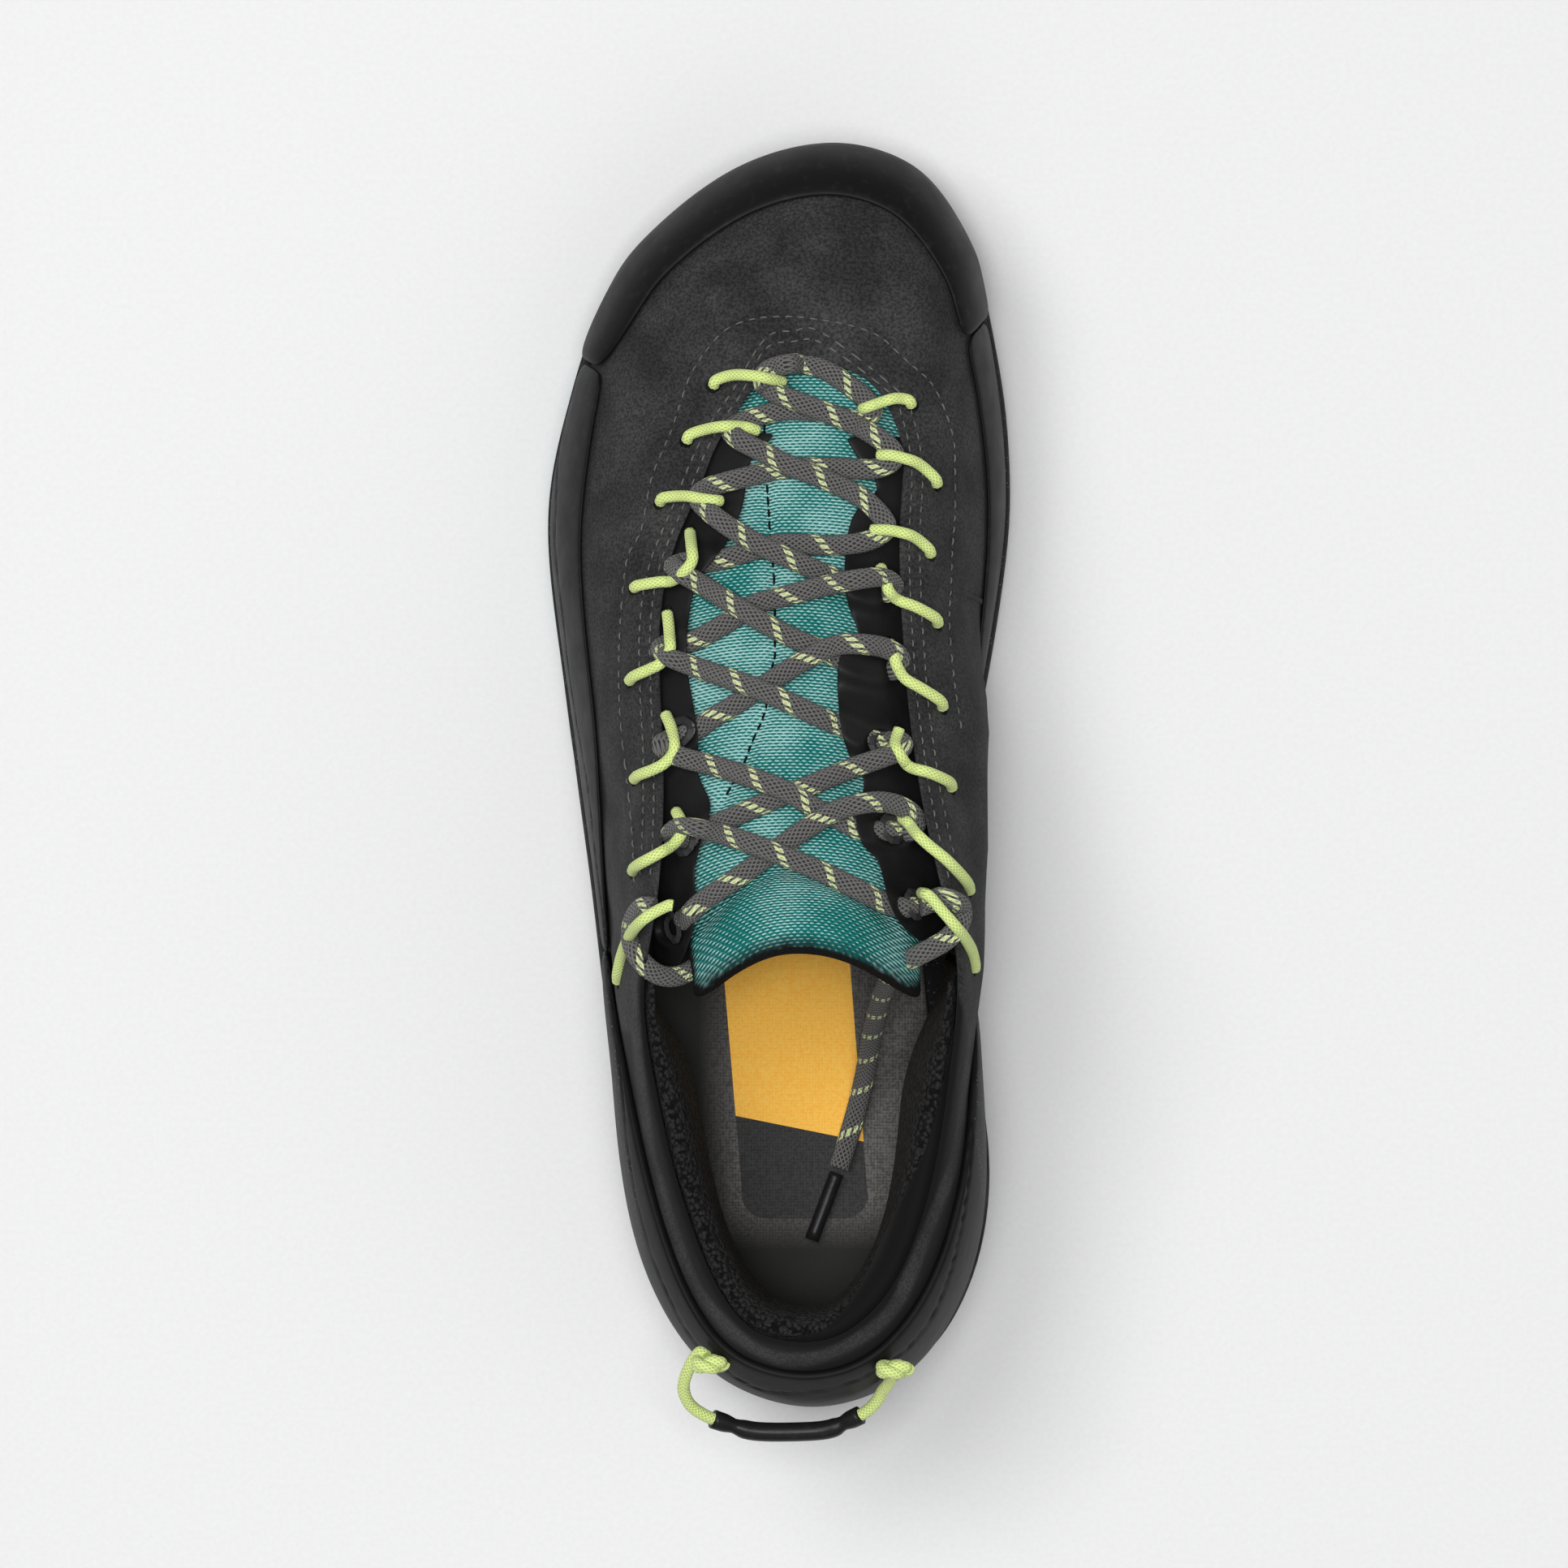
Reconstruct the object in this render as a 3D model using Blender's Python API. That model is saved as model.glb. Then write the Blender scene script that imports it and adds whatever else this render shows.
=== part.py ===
"""An approach shoe for the left foot, built over one last: sole, hollow upper, overlays, tongue and lacing.

Lengths are metres. The toe points along +Y, the big toe's side (medial) is +X and +Z is up.
While it is built the heel's back is at y = 0 and the sole stands on z = 0. At the end the shoe is
centred over the origin.
"""

import math
from collections import namedtuple

import bmesh
import bpy
import numpy as np
from mathutils import Vector
from mathutils.bvhtree import BVHTree

# Sizes of the last and the sole
SOLE_LENGTH = 0.268
BALL_WIDTH = 0.100
HEEL_STACK = 0.031
COLLAR_HEIGHT = 0.092

# Walls, thicknesses and clearances
CLEARANCE = 0.0003
UPPER_WALL = 0.0020
TOE_RAND_THICKNESS = 0.0024
SIDE_RAND_THICKNESS = 0.0014
COUNTER_THICKNESS = 0.0016
EYESTAY_THICKNESS = 0.0012
INSOLE_THICKNESS = 0.0040
OUTSOLE_PLATE = 0.0026
LUG_DEPTH = 0.0032
LUG_ACROSS = 0.0125
LUG_PITCH = 0.0185
LUG_MARGIN = 0.0095
RIB_DEPTH = 0.0008
DISH_STEP = 0.0016
COLLAR_PAD = 0.0125
EYESTAY_TUCK = 0.0030
EYESTAY_SEAT = 0.0010

# Cords and small parts
LACE_DIAMETER = 0.0037
LOOP_DIAMETER = 0.0024
EYELET_RADIUS = 0.0026
EYELET_WIRE = 0.0006
PULL_CORD_DIAMETER = 0.0026
PULL_SLEEVE_DIAMETER = 0.0040
KNOT_RADIUS = 0.0031

# How finely the round forms are divided
SOLE_STEPS = 1
UPPER_STEPS = 2
UPPER_LEVELS = 6

# Outline of the sole: share of its length, then both edges as shares of the ball width
Outline = namedtuple("Outline", "share lateral medial")
SOLE_OUTLINE = [
    Outline(0.000, 0.056, 0.056),
    Outline(0.010, -0.077, 0.181),
    Outline(0.025, -0.146, 0.247),
    Outline(0.050, -0.226, 0.316),
    Outline(0.080, -0.279, 0.364),
    Outline(0.120, -0.329, 0.404),
    Outline(0.170, -0.359, 0.423),
    Outline(0.220, -0.378, 0.417),
    Outline(0.280, -0.388, 0.385),
    Outline(0.340, -0.410, 0.360),
    Outline(0.400, -0.426, 0.350),
    Outline(0.460, -0.448, 0.360),
    Outline(0.520, -0.470, 0.385),
    Outline(0.580, -0.490, 0.418),
    Outline(0.640, -0.514, 0.444),
    Outline(0.700, -0.528, 0.465),
    Outline(0.750, -0.512, 0.463),
    Outline(0.800, -0.476, 0.453),
    Outline(0.850, -0.438, 0.428),
    Outline(0.890, -0.380, 0.407),
    Outline(0.930, -0.296, 0.369),
    Outline(0.960, -0.201, 0.322),
    Outline(0.980, -0.115, 0.269),
    Outline(0.990, -0.053, 0.232),
    Outline(1.000, 0.090, 0.090),
]

# Heights along the sole as shares of the heel's stack: tread, foot bed and the edge that carries
# the upper, and how far in from the sole's edge the upper stands, as a share of the ball width
SoleHeight = namedtuple("SoleHeight", "share tread bed ledge inset")
SOLE_HEIGHTS = [
    SoleHeight(0.00, 0.13, 0.80, 1.00, 0.044),
    SoleHeight(0.04, 0.00, 0.79, 0.98, 0.044),
    SoleHeight(0.15, 0.00, 0.76, 0.91, 0.042),
    SoleHeight(0.30, 0.00, 0.72, 0.86, 0.040),
    SoleHeight(0.38, 0.10, 0.70, 0.83, 0.036),
    SoleHeight(0.48, 0.11, 0.63, 0.75, 0.032),
    SoleHeight(0.58, 0.00, 0.56, 0.67, 0.028),
    SoleHeight(0.70, 0.00, 0.51, 0.61, 0.026),
    SoleHeight(0.78, 0.00, 0.52, 0.64, 0.026),
    SoleHeight(0.85, 0.06, 0.57, 0.70, 0.026),
    SoleHeight(0.92, 0.19, 0.66, 0.79, 0.026),
    SoleHeight(1.00, 0.42, 0.80, 0.94, 0.026),
]

# The midsole's side, from its foot to its top: share of the height and how far in it stands,
# with ribs = 1 where the heel and arch are ribbed
SideStep = namedtuple("SideStep", "rise inset ribs")
MIDSOLE_SIDE = [
    SideStep(0.00, 0.0012, 0),
    SideStep(0.16, 0.0001, 1),
    SideStep(0.48, 0.0001, 1),
    SideStep(0.56, 0.0012, 0),
    SideStep(0.66, 0.0013, 0),
    SideStep(0.72, 0.0006, 0),
    SideStep(1.00, 0.0017, 0),
]

# Sections of the upper from heel to toe. Each stands on the sole at its share of the length and
# ends at the rim of the collar or throat: x as a share of the ball width, y of the sole's length and
# z of the collar's height, on both sides. round is 1 for a quarter round and 0 for a straight wall,
# and the bulges are shares of the ball width.
Section = namedtuple(
    "Section",
    "share lat_x lat_y lat_z med_x med_y med_z round lat_bulge med_bulge",
)
SECTIONS = [
    Section(0.000, 0.030, 0.067, 1.000, 0.030, 0.067, 1.000, 0.25, 0.030, 0.030),
    Section(0.025, -0.070, 0.077, 1.000, 0.125, 0.073, 0.990, 0.25, 0.030, 0.030),
    Section(0.070, -0.135, 0.104, 0.946, 0.210, 0.099, 0.957, 0.25, 0.025, 0.025),
    Section(0.130, -0.185, 0.142, 0.913, 0.270, 0.138, 0.918, 0.25, 0.020, 0.025),
    Section(0.200, -0.240, 0.201, 0.875, 0.320, 0.198, 0.875, 0.25, 0.015, 0.025),
    Section(0.270, -0.280, 0.268, 0.870, 0.348, 0.259, 0.870, 0.25, 0.015, 0.030),
    Section(0.335, -0.300, 0.321, 0.902, 0.368, 0.321, 0.908, 0.30, 0.015, 0.040),
    Section(0.390, -0.286, 0.366, 0.973, 0.366, 0.366, 0.968, 0.35, 0.010, 0.050),
    Section(0.440, -0.264, 0.410, 1.022, 0.334, 0.416, 1.027, 0.40, 0.005, 0.055),
    Section(0.500, -0.253, 0.463, 0.967, 0.300, 0.466, 0.978, 0.45, 0.000, 0.045),
    Section(0.560, -0.254, 0.526, 0.891, 0.273, 0.519, 0.902, 0.50, 0.000, 0.025),
    Section(0.620, -0.265, 0.597, 0.810, 0.250, 0.590, 0.826, 0.55, 0.000, 0.010),
    Section(0.690, -0.250, 0.657, 0.750, 0.240, 0.649, 0.766, 0.60, 0.000, 0.000),
    Section(0.760, -0.195, 0.705, 0.717, 0.235, 0.696, 0.728, 0.70, 0.000, 0.000),
    Section(0.830, -0.140, 0.757, 0.674, 0.240, 0.744, 0.685, 0.80, 0.000, 0.000),
    Section(0.890, -0.070, 0.798, 0.647, 0.210, 0.784, 0.663, 0.90, 0.000, 0.000),
    Section(0.940, -0.020, 0.813, 0.641, 0.155, 0.808, 0.641, 1.00, 0.000, 0.000),
    Section(0.980, 0.015, 0.819, 0.639, 0.100, 0.817, 0.639, 1.00, 0.000, 0.000),
    Section(1.000, 0.055, 0.822, 0.636, 0.055, 0.822, 0.636, 1.00, 0.000, 0.000),
]

# Overlays on the upper: share of the sole's length along one side, then the lower and upper edge
# as shares of the way from the upper's foot to its rim. Shares past 1 run on to the other side.
Edge = namedtuple("Edge", "side share low high")
TOE_RAND = [
    Edge("lateral", 0.820, 0.01, 0.27),
    Edge("lateral", 0.845, 0.01, 0.36),
    Edge("lateral", 0.880, 0.01, 0.39),
    Edge("lateral", 0.930, 0.01, 0.42),
    Edge("lateral", 1.000, 0.01, 0.44),
    Edge("medial", 0.930, 0.01, 0.44),
    Edge("medial", 0.880, 0.01, 0.42),
    Edge("medial", 0.850, 0.01, 0.40),
]
SIDE_RAND_LATERAL = [
    Edge("lateral", 0.370, 0.00, 0.21),
    Edge("lateral", 0.470, 0.00, 0.30),
    Edge("lateral", 0.570, 0.00, 0.38),
    Edge("lateral", 0.700, 0.00, 0.40),
    Edge("lateral", 0.820, 0.00, 0.31),
]
SIDE_RAND_MEDIAL = [
    Edge("medial", 0.370, 0.00, 0.17),
    Edge("medial", 0.500, 0.00, 0.15),
    Edge("medial", 0.620, 0.00, 0.18),
    Edge("medial", 0.740, 0.00, 0.24),
    Edge("medial", 0.850, 0.00, 0.37),
]
HEEL_COUNTER = [
    Edge("medial", 0.370, 0.00, 0.20),
    Edge("medial", 0.330, 0.00, 0.40),
    Edge("medial", 0.270, 0.00, 0.60),
    Edge("medial", 0.200, 0.00, 0.71),
    Edge("medial", 0.100, 0.00, 0.76),
    Edge("lateral", 0.000, 0.00, 0.77),
    Edge("lateral", 0.100, 0.00, 0.76),
    Edge("lateral", 0.200, 0.00, 0.71),
    Edge("lateral", 0.270, 0.00, 0.60),
    Edge("lateral", 0.330, 0.00, 0.40),
    Edge("lateral", 0.370, 0.00, 0.20),
]

# The collar's padding inside the heel: share of the way up the wall, and its depth as a share of
# COLLAR_PAD. Along the sides it thins towards the front.
Pad = namedtuple("Pad", "rise depth")
COLLAR_PADDING = [
    Pad(0.20, 0.16),
    Pad(0.30, 0.55),
    Pad(0.42, 0.95),
    Pad(0.55, 1.00),
    Pad(0.72, 0.78),
    Pad(0.88, 0.55),
    Pad(0.97, 0.36),
]
CollarEnd = namedtuple("CollarEnd", "side share depth")
COLLAR_RUN = [
    CollarEnd("medial", 0.370, 0.20),
    CollarEnd("medial", 0.330, 0.38),
    CollarEnd("medial", 0.260, 0.95),
    CollarEnd("medial", 0.130, 1.12),
    CollarEnd("lateral", 0.000, 1.20),
    CollarEnd("lateral", 0.130, 1.00),
    CollarEnd("lateral", 0.260, 0.90),
    CollarEnd("lateral", 0.330, 0.38),
    CollarEnd("lateral", 0.370, 0.20),
]

# Rows of the tongue from its foot under the vamp to its top edge: y of the middle and the sweep of
# the row's ends towards the heel as shares of the sole's length, x and the half widths as shares of
# the ball width, height and the drop of the ends as shares of the collar's height, and thickness
TongueRow = namedtuple("TongueRow", "y x z lateral medial drop sweep thickness")
TONGUE_ROWS = [
    TongueRow(0.858, 0.055, 0.576, 0.13, 0.13, 0.020, 0.000, 0.0018),
    TongueRow(0.821, 0.055, 0.600, 0.20, 0.20, 0.050, 0.000, 0.0022),
    TongueRow(0.757, 0.050, 0.672, 0.23, 0.23, 0.078, 0.000, 0.0028),
    TongueRow(0.705, 0.025, 0.728, 0.24, 0.24, 0.083, 0.000, 0.0030),
    TongueRow(0.657, 0.000, 0.780, 0.25, 0.23, 0.090, 0.000, 0.0030),
    TongueRow(0.597, -0.005, 0.850, 0.25, 0.23, 0.100, 0.000, 0.0030),
    TongueRow(0.526, 0.010, 0.932, 0.26, 0.225, 0.102, 0.000, 0.0032),
    TongueRow(0.463, 0.023, 1.014, 0.26, 0.235, 0.120, 0.008, 0.0034),
    TongueRow(0.433, 0.030, 1.060, 0.26, 0.26, 0.160, 0.016, 0.0040),
    TongueRow(0.410, 0.038, 1.130, 0.26, 0.26, 0.235, 0.026, 0.0075),
    TongueRow(0.388, 0.045, 1.185, 0.25, 0.25, 0.285, 0.036, 0.0085),
    TongueRow(0.371, 0.050, 1.200, 0.245, 0.245, 0.310, 0.046, 0.0060),
]
TONGUE_COLUMNS = 8

# The scalloped edge of the eyestays: y and x of the edge as shares of the sole's length and the
# ball width, and how much of the tuck under the suede each row has
EyestayRow = namedtuple("EyestayRow", "y x tuck")
EYESTAY_LATERAL = [
    EyestayRow(0.766, -0.012, 1.0),
    EyestayRow(0.742, -0.078, 1.0),
    EyestayRow(0.714, -0.083, 1.0),
    EyestayRow(0.679, -0.118, 1.0),
    EyestayRow(0.648, -0.185, 1.0),
    EyestayRow(0.614, -0.199, 1.0),
    EyestayRow(0.575, -0.197, 1.0),
    EyestayRow(0.533, -0.172, 1.0),
    EyestayRow(0.502, -0.175, 1.0),
    EyestayRow(0.479, -0.143, 1.0),
    EyestayRow(0.452, -0.164, 1.0),
    EyestayRow(0.426, -0.180, 0.7),
    EyestayRow(0.397, -0.173, 0.1),
    EyestayRow(0.371, -0.193, -0.3),
    EyestayRow(0.356, -0.216, -0.5),
]
EYESTAY_MEDIAL = [
    EyestayRow(0.763, 0.119, 1.0),
    EyestayRow(0.748, 0.142, 1.0),
    EyestayRow(0.722, 0.193, 1.0),
    EyestayRow(0.705, 0.140, 1.0),
    EyestayRow(0.676, 0.121, 1.0),
    EyestayRow(0.634, 0.124, 1.0),
    EyestayRow(0.607, 0.154, 1.0),
    EyestayRow(0.593, 0.108, 1.0),
    EyestayRow(0.542, 0.112, 1.0),
    EyestayRow(0.512, 0.136, 1.0),
    EyestayRow(0.497, 0.165, 1.0),
    EyestayRow(0.470, 0.143, 1.0),
    EyestayRow(0.440, 0.191, 0.5),
    EyestayRow(0.410, 0.211, 0.0),
    EyestayRow(0.389, 0.237, -0.5),
    EyestayRow(0.375, 0.278, -0.8),
]

# Places read from a view straight down, in its own pixels: across and down. The sole runs from
# VIEW_HEEL up to VIEW_TOE, VIEW_AXIS is the shoe's middle line, and the eye is over VIEW_EYE.
VIEW_HEEL = 1782
VIEW_TOE = 241
VIEW_AXIS = 715
VIEW_BALL = 575
VIEW_EYE = 966
VIEW_HEIGHT = 1.8

# The lace's run over the tongue, from the lateral top eyelet down to the toe and back up to the
# medial one. layer is 1 where a strand lies over another.
LacePoint = namedtuple("LacePoint", "across down layer")
LACE_FROM_LATERAL = [
    LacePoint(582, 1184, 0.0),
    LacePoint(641, 1141, 0.0),
    LacePoint(698, 1100, 0.0),
    LacePoint(735, 1074, 0.5),
    LacePoint(772, 1051, 1.0),
    LacePoint(821, 1041, 0.8),
    LacePoint(860, 1049, 0.6),
    LacePoint(877, 1069, 0.4),
    LacePoint(857, 1087, 0.1),
    LacePoint(822, 1087, 0.0),
    LacePoint(788, 1076, 0.0),
    LacePoint(747, 1055, 0.1),
    LacePoint(706, 1031, 1.0),
    LacePoint(665, 1017, 0.6),
    LacePoint(625, 1004, 0.0),
    LacePoint(580, 996, 0.0),
    LacePoint(552, 984, 0.0),
    LacePoint(558, 965, 0.0),
    LacePoint(592, 957, 0.0),
    LacePoint(640, 926, 0.0),
    LacePoint(686, 896, 0.0),
    LacePoint(727, 868, 0.5),
    LacePoint(768, 850, 1.0),
    LacePoint(812, 851, 0.8),
    LacePoint(848, 861, 0.5),
    LacePoint(858, 879, 0.2),
    LacePoint(836, 893, 0.0),
    LacePoint(800, 886, 0.0),
    LacePoint(752, 862, 0.0),
    LacePoint(712, 841, 0.4),
    LacePoint(660, 811, 1.0),
    LacePoint(620, 786, 0.4),
    LacePoint(585, 772, 0.0),
    LacePoint(560, 758, 0.0),
    LacePoint(572, 742, 0.0),
    LacePoint(610, 745, 0.0),
    LacePoint(655, 737, 0.0),
    LacePoint(700, 727, 0.0),
    LacePoint(760, 728, 0.0),
    LacePoint(806, 726, 0.0),
    LacePoint(838, 714, 0.0),
    LacePoint(836, 692, 0.0),
    LacePoint(800, 668, 0.0),
    LacePoint(758, 648, 0.5),
    LacePoint(712, 629, 1.0),
    LacePoint(675, 613, 0.5),
    LacePoint(645, 600, 0.0),
    LacePoint(638, 582, 0.0),
    LacePoint(660, 569, 0.0),
    LacePoint(700, 562, 0.0),
    LacePoint(745, 563, 0.0),
    LacePoint(792, 571, 0.0),
    LacePoint(816, 557, 0.0),
    LacePoint(808, 534, 0.0),
    LacePoint(772, 514, 0.0),
]
LACE_FROM_MEDIAL = [
    LacePoint(836, 1172, 0.0),
    LacePoint(800, 1155, 0.1),
    LacePoint(747, 1129, 0.5),
    LacePoint(690, 1105, 1.0),
    LacePoint(650, 1090, 0.8),
    LacePoint(612, 1079, 1.0),
    LacePoint(575, 1072, 0.8),
    LacePoint(552, 1083, 0.5),
    LacePoint(560, 1101, 0.2),
    LacePoint(585, 1099, 0.0),
    LacePoint(614, 1078, 0.0),
    LacePoint(655, 1056, 0.0),
    LacePoint(702, 1036, 0.0),
    LacePoint(750, 1018, 0.0),
    LacePoint(800, 1002, 0.0),
    LacePoint(845, 991, 0.0),
    LacePoint(862, 974, 0.0),
    LacePoint(840, 960, 0.0),
    LacePoint(800, 956, 0.0),
    LacePoint(750, 941, 0.3),
    LacePoint(692, 911, 1.0),
    LacePoint(640, 892, 0.3),
    LacePoint(590, 877, 0.0),
    LacePoint(556, 868, 0.0),
    LacePoint(552, 849, 0.0),
    LacePoint(590, 842, 0.0),
    LacePoint(630, 824, 0.0),
    LacePoint(664, 805, 0.0),
    LacePoint(706, 790, 0.3),
    LacePoint(752, 778, 1.0),
    LacePoint(800, 769, 1.0),
    LacePoint(838, 769, 0.7),
    LacePoint(856, 785, 0.3),
    LacePoint(838, 801, 0.0),
    LacePoint(800, 790, 0.0),
    LacePoint(760, 769, 0.0),
    LacePoint(720, 750, 0.5),
    LacePoint(680, 731, 1.0),
    LacePoint(640, 711, 0.4),
    LacePoint(604, 690, 0.0),
    LacePoint(589, 670, 0.0),
    LacePoint(605, 654, 0.0),
    LacePoint(650, 644, 0.0),
    LacePoint(706, 633, 0.0),
    LacePoint(760, 632, 0.0),
    LacePoint(812, 637, 0.0),
    LacePoint(846, 625, 0.0),
    LacePoint(842, 604, 0.0),
    LacePoint(810, 585, 0.0),
    LacePoint(775, 570, 0.5),
    LacePoint(738, 558, 1.0),
    LacePoint(700, 548, 0.5),
    LacePoint(672, 538, 0.0),
    LacePoint(664, 520, 0.0),
    LacePoint(688, 506, 0.0),
    LacePoint(730, 503, 0.0),
]

# The lime cord loops in the suede, each from its hole to where it holds the lace, by row from the
# toe: (across, down) places
LOOPS_LATERAL = [
    [(616, 531), (628, 520), (638, 519)],
    [(583, 599), (596, 588), (613, 583)],
    [(550, 675), (558, 668), (565, 667)],
    [(518, 780), (528, 777), (536, 774)],
    [(512, 895), (521, 889), (529, 884)],
    [(518, 1016), (526, 1011), (534, 1006)],
    [(516, 1130), (525, 1120), (536, 1112)],
    [(498, 1268), (498, 1258), (500, 1250)],
]
LOOPS_MEDIAL = [
    [(862, 555), (853, 549), (842, 549)],
    [(893, 653), (886, 640), (872, 630)],
    [(885, 739), (877, 728), (864, 719)],
    [(895, 825), (887, 815), (876, 808)],
    [(901, 928), (892, 917), (879, 907)],
    [(912, 1027), (904, 1017), (886, 1008)],
    [(933, 1154), (925, 1137), (900, 1112)],
    [(943, 1272), (944, 1254), (939, 1240)],
]

# The lace's ends beyond the top eyelets, laid on the shoe
END_LATERAL = [(548, 1184), (530, 1180), (514, 1196), (512, 1218), (520, 1240)]
END_MEDIAL = [(888, 1172), (906, 1168), (922, 1180), (922, 1200), (905, 1219), (884, 1229)]

# The free end inside the shoe and its tip: places with their height as a share of the collar's
FreePoint = namedtuple("FreePoint", "across down height")
END_INSIDE = [
    FreePoint(834, 1262, 0.89),
    FreePoint(826, 1276, 0.82),
    FreePoint(819, 1300, 0.70),
    FreePoint(810, 1340, 0.52),
    FreePoint(803, 1380, 0.39),
    FreePoint(795, 1415, 0.332),
    FreePoint(785, 1450, 0.3215),
    FreePoint(777, 1476, 0.3225),
    FreePoint(769, 1499, 0.324),
]
END_TIP = [
    FreePoint(768, 1502, 0.319),
    FreePoint(752, 1545, 0.321),
    FreePoint(737, 1584, 0.323),
]

# The heel's pull cord, hanging from two knots, with a sleeve over its middle
PULL_LATERAL = [
    FreePoint(608, 1717, 0.83),
    FreePoint(588, 1738, 0.80),
    FreePoint(579, 1764, 0.75),
    FreePoint(586, 1786, 0.71),
    FreePoint(606, 1801, 0.68),
    FreePoint(633, 1811, 0.66),
]
PULL_SLEEVE = [
    FreePoint(640, 1813, 0.655),
    FreePoint(666, 1820, 0.65),
    FreePoint(712, 1821, 0.65),
    FreePoint(756, 1818, 0.65),
    FreePoint(776, 1809, 0.66),
    FreePoint(800, 1799, 0.675),
]
PULL_MEDIAL = [
    FreePoint(805, 1795, 0.68),
    FreePoint(821, 1777, 0.71),
    FreePoint(829, 1750, 0.77),
    FreePoint(826, 1730, 0.82),
]
KNOTS = [("lateral", 621, 1707, 0.84), ("medial", 820, 1713, 0.85)]

# Eyelets in the eyestays at the top three rows
EYELETS_LATERAL = [(578, 960), (584, 1092), (572, 1198)]
EYELETS_MEDIAL = [(820, 978), (832, 1079), (858, 1172)]


def row_slopes(positions, values):
    """Slopes of a monotone cubic through the values."""
    gaps = np.diff(positions)
    rises = np.diff(values) / gaps
    slopes = np.zeros(len(values))
    slopes[0] = rises[0]
    slopes[-1] = rises[-1]
    for i in range(1, len(values) - 1):
        if rises[i - 1] * rises[i] > 0:
            before = 2 * gaps[i] + gaps[i - 1]
            after = gaps[i] + 2 * gaps[i - 1]
            slopes[i] = (before + after) / (before / rises[i - 1] + after / rises[i])
    return slopes


def eased(positions, values, at):
    """Values read from a monotone cubic through a table's rows."""
    positions = np.asarray(positions, float)
    values = np.asarray(values, float)
    slopes = row_slopes(positions, values)
    at = np.clip(np.asarray(at, float), positions[0], positions[-1])
    row = np.clip(np.searchsorted(positions, at, side="right") - 1, 0, len(positions) - 2)
    gap = positions[row + 1] - positions[row]
    t = (at - positions[row]) / gap
    start = (1 + 2 * t) * (1 - t) ** 2 * values[row] + t * (1 - t) ** 2 * gap * slopes[row]
    end = t**2 * (3 - 2 * t) * values[row + 1] + t**2 * (t - 1) * gap * slopes[row + 1]
    return start + end


def column(table, name):
    """One named column of a table."""
    return [getattr(row, name) for row in table]


def curve_through(points, steps, closed=False):
    """A smooth curve through the points, with that many steps from each to the next."""
    points = np.asarray(points, float)
    if closed:
        padded = np.vstack([points[-1], points, points[0], points[1]])
    else:
        padded = np.vstack([2 * points[0] - points[1], points, 2 * points[-1] - points[-2]])
    curve = []
    for i in range(len(padded) - 3):
        a, b, c, d = padded[i : i + 4]
        before = np.linalg.norm(b - a) ** 0.5
        within = np.linalg.norm(c - b) ** 0.5
        after = np.linalg.norm(d - c) ** 0.5
        leave = within * ((b - a) / before - (c - a) / (before + within) + (c - b) / within)
        arrive = within * ((c - b) / within - (d - b) / (within + after) + (d - c) / after)
        for step in range(steps):
            t = step / steps
            curve.append(
                (1 + 2 * t) * (1 - t) ** 2 * b
                + t * (1 - t) ** 2 * leave
                + t**2 * (3 - 2 * t) * c
                + t**2 * (t - 1) * arrive
            )
    if not closed:
        curve.append(points[-1])
    return np.array(curve)


def sole_height(name, y):
    """A height of the sole at y, in metres."""
    shares = column(SOLE_HEIGHTS, "share")
    return HEEL_STACK * eased(shares, column(SOLE_HEIGHTS, name), np.asarray(y) / SOLE_LENGTH)


def upper_inset(y):
    """How far in from the sole's edge the upper stands."""
    shares = column(SOLE_HEIGHTS, "share")
    return BALL_WIDTH * eased(shares, column(SOLE_HEIGHTS, "inset"), np.asarray(y) / SOLE_LENGTH)


def sole_outline():
    """The sole's edge as a closed ring: heel tip, lateral side, toe tip, medial side."""
    lateral = [(row.lateral * BALL_WIDTH, row.share * SOLE_LENGTH) for row in SOLE_OUTLINE]
    medial = [(row.medial * BALL_WIDTH, row.share * SOLE_LENGTH) for row in SOLE_OUTLINE[1:-1]]
    return curve_through(lateral + medial[::-1], SOLE_STEPS, closed=True)


def inward(ring):
    """Unit directions in the plane that point into a ring run heel, lateral, toe, medial."""
    along = np.roll(ring, -1, axis=0) - np.roll(ring, 1, axis=0)
    across = np.stack([along[:, 1], -along[:, 0]], axis=1)
    return across / np.linalg.norm(across, axis=1, keepdims=True)


OUTLINE = sole_outline()
INWARD = inward(OUTLINE)


def ring_at(inset, height):
    """The sole's outline moved in by inset, each point at the height that its own y gives."""
    plan = OUTLINE + INWARD * np.broadcast_to(inset, len(OUTLINE))[:, None]
    return np.column_stack([plan, height(plan[:, 1])])


def side_of_outline(side):
    """One side of the sole's outline from heel tip to toe tip, with its inward directions."""
    half = len(OUTLINE) // 2
    if side == "lateral":
        return OUTLINE[: half + 1], INWARD[: half + 1]
    backwards = [0] + list(range(len(OUTLINE) - 1, half - 1, -1))
    return OUTLINE[backwards], INWARD[backwards]


def foot_point(side, share):
    """Where the upper's outer face stands on the sole at a share of its length."""
    edge, within = side_of_outline(side)
    y = share * SOLE_LENGTH
    x = np.interp(y, edge[:, 1], edge[:, 0])
    normal = np.array([np.interp(y, edge[:, 1], within[:, 0]), np.interp(y, edge[:, 1], within[:, 1])])
    normal = normal / np.linalg.norm(normal)
    plan = np.array([x, y]) + normal * upper_inset(y)
    return [plan[0], plan[1], float(sole_height("ledge", plan[1])) + CLEARANCE]


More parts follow.
